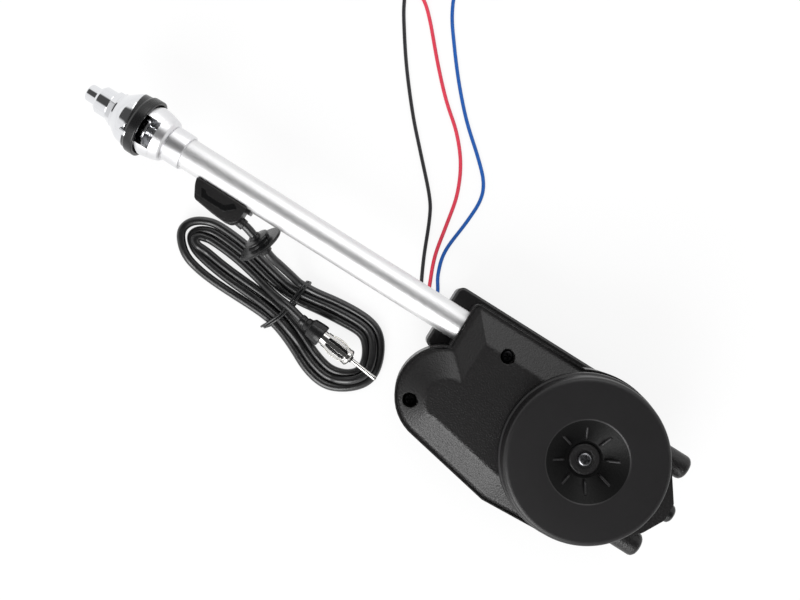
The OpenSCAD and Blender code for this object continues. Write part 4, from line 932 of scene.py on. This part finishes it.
# The cone's faces take the material with the painted shade.
middles = np.empty(3 * len(drum_cover.data.polygons))
drum_cover.data.polygons.foreach_get("center", middles)
middles = middles.reshape(-1, 3) * 1000 - row(np.array([*DRUM_AT, 0.0])) * 1000
far = np.hypot(middles[:, 0], middles[:, 1])
cone_shade_mask = (far < CONE_R) & (middles[:, 2] < WELL_Z + 0.4 + np.maximum(far - WELL_R, 0) * 0.8)
drum_cover.data.polygons.foreach_set("material_index", cone_shade_mask.astype(int))
washer_profile = [[WELL_Z, 2.7], [WELL_Z, 10.2], [WELL_Z + 1, 10.2], [WELL_Z + 1.6, 9.4],
                  [WELL_Z + 1.6, 6.2], [WELL_Z + 1, 6.2], [WELL_Z + 1, 2.7]]
washer = upright(around(softened(washer_profile, 0.25), 96))
settle(mesh_of("drum_washer_turned", [row(washer)]), "drum_washer")

# %% [markdown]
# ## Screws
#
# The screw heads are cold headed: a flat dome with a cross recess. Head and recess are one height over a disc
# of points. The recess is where either arm of the cross reaches, and its walls are a smooth step.

# %% Screws
def cross_head(at, z, head_r, height, arm, turn=0.35):
    """Points of a disc whose height is z + height (1 - (r / head_r)^5)^0.6. Inside the cross's arms it is
    0.8 of height lower."""
    r = head_r * np.linspace(0, 1, 49)[None]
    a = np.linspace(0, 2 * np.pi, 145)[:, None]
    u, v = r * np.cos(a - turn), r * np.sin(a - turn)
    inside = np.maximum(smooth((arm - np.abs(u)) / 0.25) * smooth((head_r * 0.56 - np.abs(v)) / 0.3),
                        smooth((arm - np.abs(v)) / 0.25) * smooth((head_r * 0.56 - np.abs(u)) / 0.3))
    top = z + height * (1 - (r / head_r) ** 5) ** 0.6 - 0.8 * height * inside
    face = np.stack([at[0] + r * np.cos(a), at[1] + r * np.sin(a), top], -1)
    foot_ring = np.stack([face[:, -1], face[:, -1] - [0, 0, 0.5]], 1)
    return face, foot_ring, foot_ring[:-1, -1]


screw_steel = metal("steel_dark_nickel", "#8a8a8d", 0.25, 2.0, None, 0.003, spot="#7a7a7d")
face, ring_wall, disc = cross_head(DRUM_AT, WELL_Z + 1.2, 5.0, 2.4, 0.75)
settle(mesh_of("drum_screw_head", [row(face), row(ring_wall)], [row(disc)]), "drum_screw",
       material=screw_steel)
heads, discs = [], []
for at, z, r in (([-35.5, 1.2], 17.0, 4.4), ([3.5, 60.1], 8.6, 4.4)):
    face, ring_wall, disc = cross_head(at, z - 0.3, r, 2.2, 0.7, 0.6)
    heads += [row(face), row(ring_wall)]
    discs.append(row(disc))
settle(mesh_of("cover_screw_heads", heads, discs), "cover_screws")

# %% [markdown]
# ## Studio
#
# A white table, soft light from above and from the far side, and a stronger soft box on the near side. Metal
# and plastic show what hangs over them: the ceiling is dark round the camera and grows white to both sides,
# so it draws the dark band along the middle of the tube and keeps flat black faces black. Only reflections
# see this canopy.

# %% Studio
def lamp(name, at, size, power, aim=(0, 0, 0)):
    """A square soft box at a place in metres that looks at a point."""
    data = bpy.data.lights.new(name, "AREA")
    data.shape, data.size, data.energy = "SQUARE", size, power
    obj = bpy.data.objects.new(name, data)
    obj.location = at
    obj.rotation_mode = "QUATERNION"
    obj.rotation_quaternion = (Vector(aim) - Vector(at)).to_track_quat("-Z", "Y")
    bpy.context.scene.collection.objects.link(obj)
    return obj


def sheet(name, half_long, half_wide, z, material):
    """A flat rectangle at a height in metres."""
    mesh = bpy.data.meshes.new(name)
    mesh.from_pydata([(-half_long, -half_wide, z), (half_long, -half_wide, z), (half_long, half_wide, z),
                      (-half_long, half_wide, z)], [], [(0, 1, 2, 3)])
    mesh.materials.append(material)
    obj = bpy.data.objects.new(name, mesh)
    bpy.context.scene.collection.objects.link(obj)
    return obj


def white_to_eyes(tree):
    """1 where the ray is the camera's, a reflection's or a refraction's."""
    path = add(tree, "LightPath")
    both = add(tree, "Math", {0: path.outputs["Is Camera Ray"], 1: path.outputs["Is Glossy Ray"]},
               operation="ADD")
    return add(tree, "Math", {0: both.outputs[0], 1: path.outputs["Is Transmission Ray"]}, operation="ADD",
               use_clamp=True).outputs[0]


TABLE_WHITE = 0.82
table_material = bpy.data.materials.new("table_white")
tree = cleared(table_material)
diffuse = add(tree, "BsdfDiffuse", {"Color": (0.9, 0.9, 0.9, 1)})
glow = add(tree, "Emission", {"Color": (1, 1, 1, 1), "Strength": 1.0})
share = add(tree, "Math", {0: white_to_eyes(tree), 1: TABLE_WHITE}, operation="MULTIPLY").outputs[0]
shown = add(tree, "MixShader", {0: share, 1: diffuse.outputs[0], 2: glow.outputs[0]})
add(tree, "OutputMaterial", {"Surface": shown.outputs[0]})
TABLE_HALF = 20.0
table_top = sheet("table_top", TABLE_HALF, TABLE_HALF, 0, table_material)

CANOPY_Z, CANOPY_LONG, CANOPY_WIDE = 2.2, 4.0, 3.2
DARK_HALF, WHITE_FROM, DARK_MIDDLE_Y = 1.0, 1.75, -0.03
CANOPY_DARK, CANOPY_WHITE = 0.08, 0.95
canopy_material = bpy.data.materials.new("canopy_graded")
tree = cleared(canopy_material)
place = add(tree, "SeparateXYZ", {0: add(tree, "TexCoord").outputs["Object"]})
across = add(tree, "Math", {0: place.outputs["Y"], 1: -DARK_MIDDLE_Y}, operation="ADD")
across = add(tree, "Math", {0: across.outputs[0]}, operation="ABSOLUTE")
graded = add(tree, "MapRange", {"Value": across.outputs[0], "From Min": DARK_HALF, "From Max": WHITE_FROM,
                                "To Min": CANOPY_DARK, "To Max": CANOPY_WHITE},
             interpolation_type="SMOOTHSTEP")
add(tree, "OutputMaterial", {"Surface": add(tree, "Emission", {"Strength": graded.outputs[0]}).outputs[0]})
canopy = sheet("canopy", CANOPY_LONG, CANOPY_WIDE, CANOPY_Z, canopy_material)
for ray in ("camera", "shadow", "diffuse", "transmission", "volume_scatter"):
    setattr(canopy, "visible_" + ray, False)

lamp("soft_top", (0.1, -0.2, 1.6), 1.6, 7).visible_glossy = False
lamp("soft_far", (0.2, -1.5, 1.1), 1.0, 6)
lamp("soft_near", (-0.1, 1.25, 0.95), 1.1, 22)
world = bpy.data.worlds.new("studio")
bpy.context.scene.world = world
tree = cleared(world)
WORLD_LIGHT = 0.55
strength = add(tree, "MapRange", {"Value": white_to_eyes(tree), "To Min": WORLD_LIGHT,
                                  "To Max": 1.0}).outputs[0]
background = add(tree, "Background", {"Color": (1, 1, 1, 1), "Strength": strength})
add(tree, "OutputWorld", {"Surface": background.outputs[0]})
bpy.context.scene.view_settings.view_transform = "Standard"
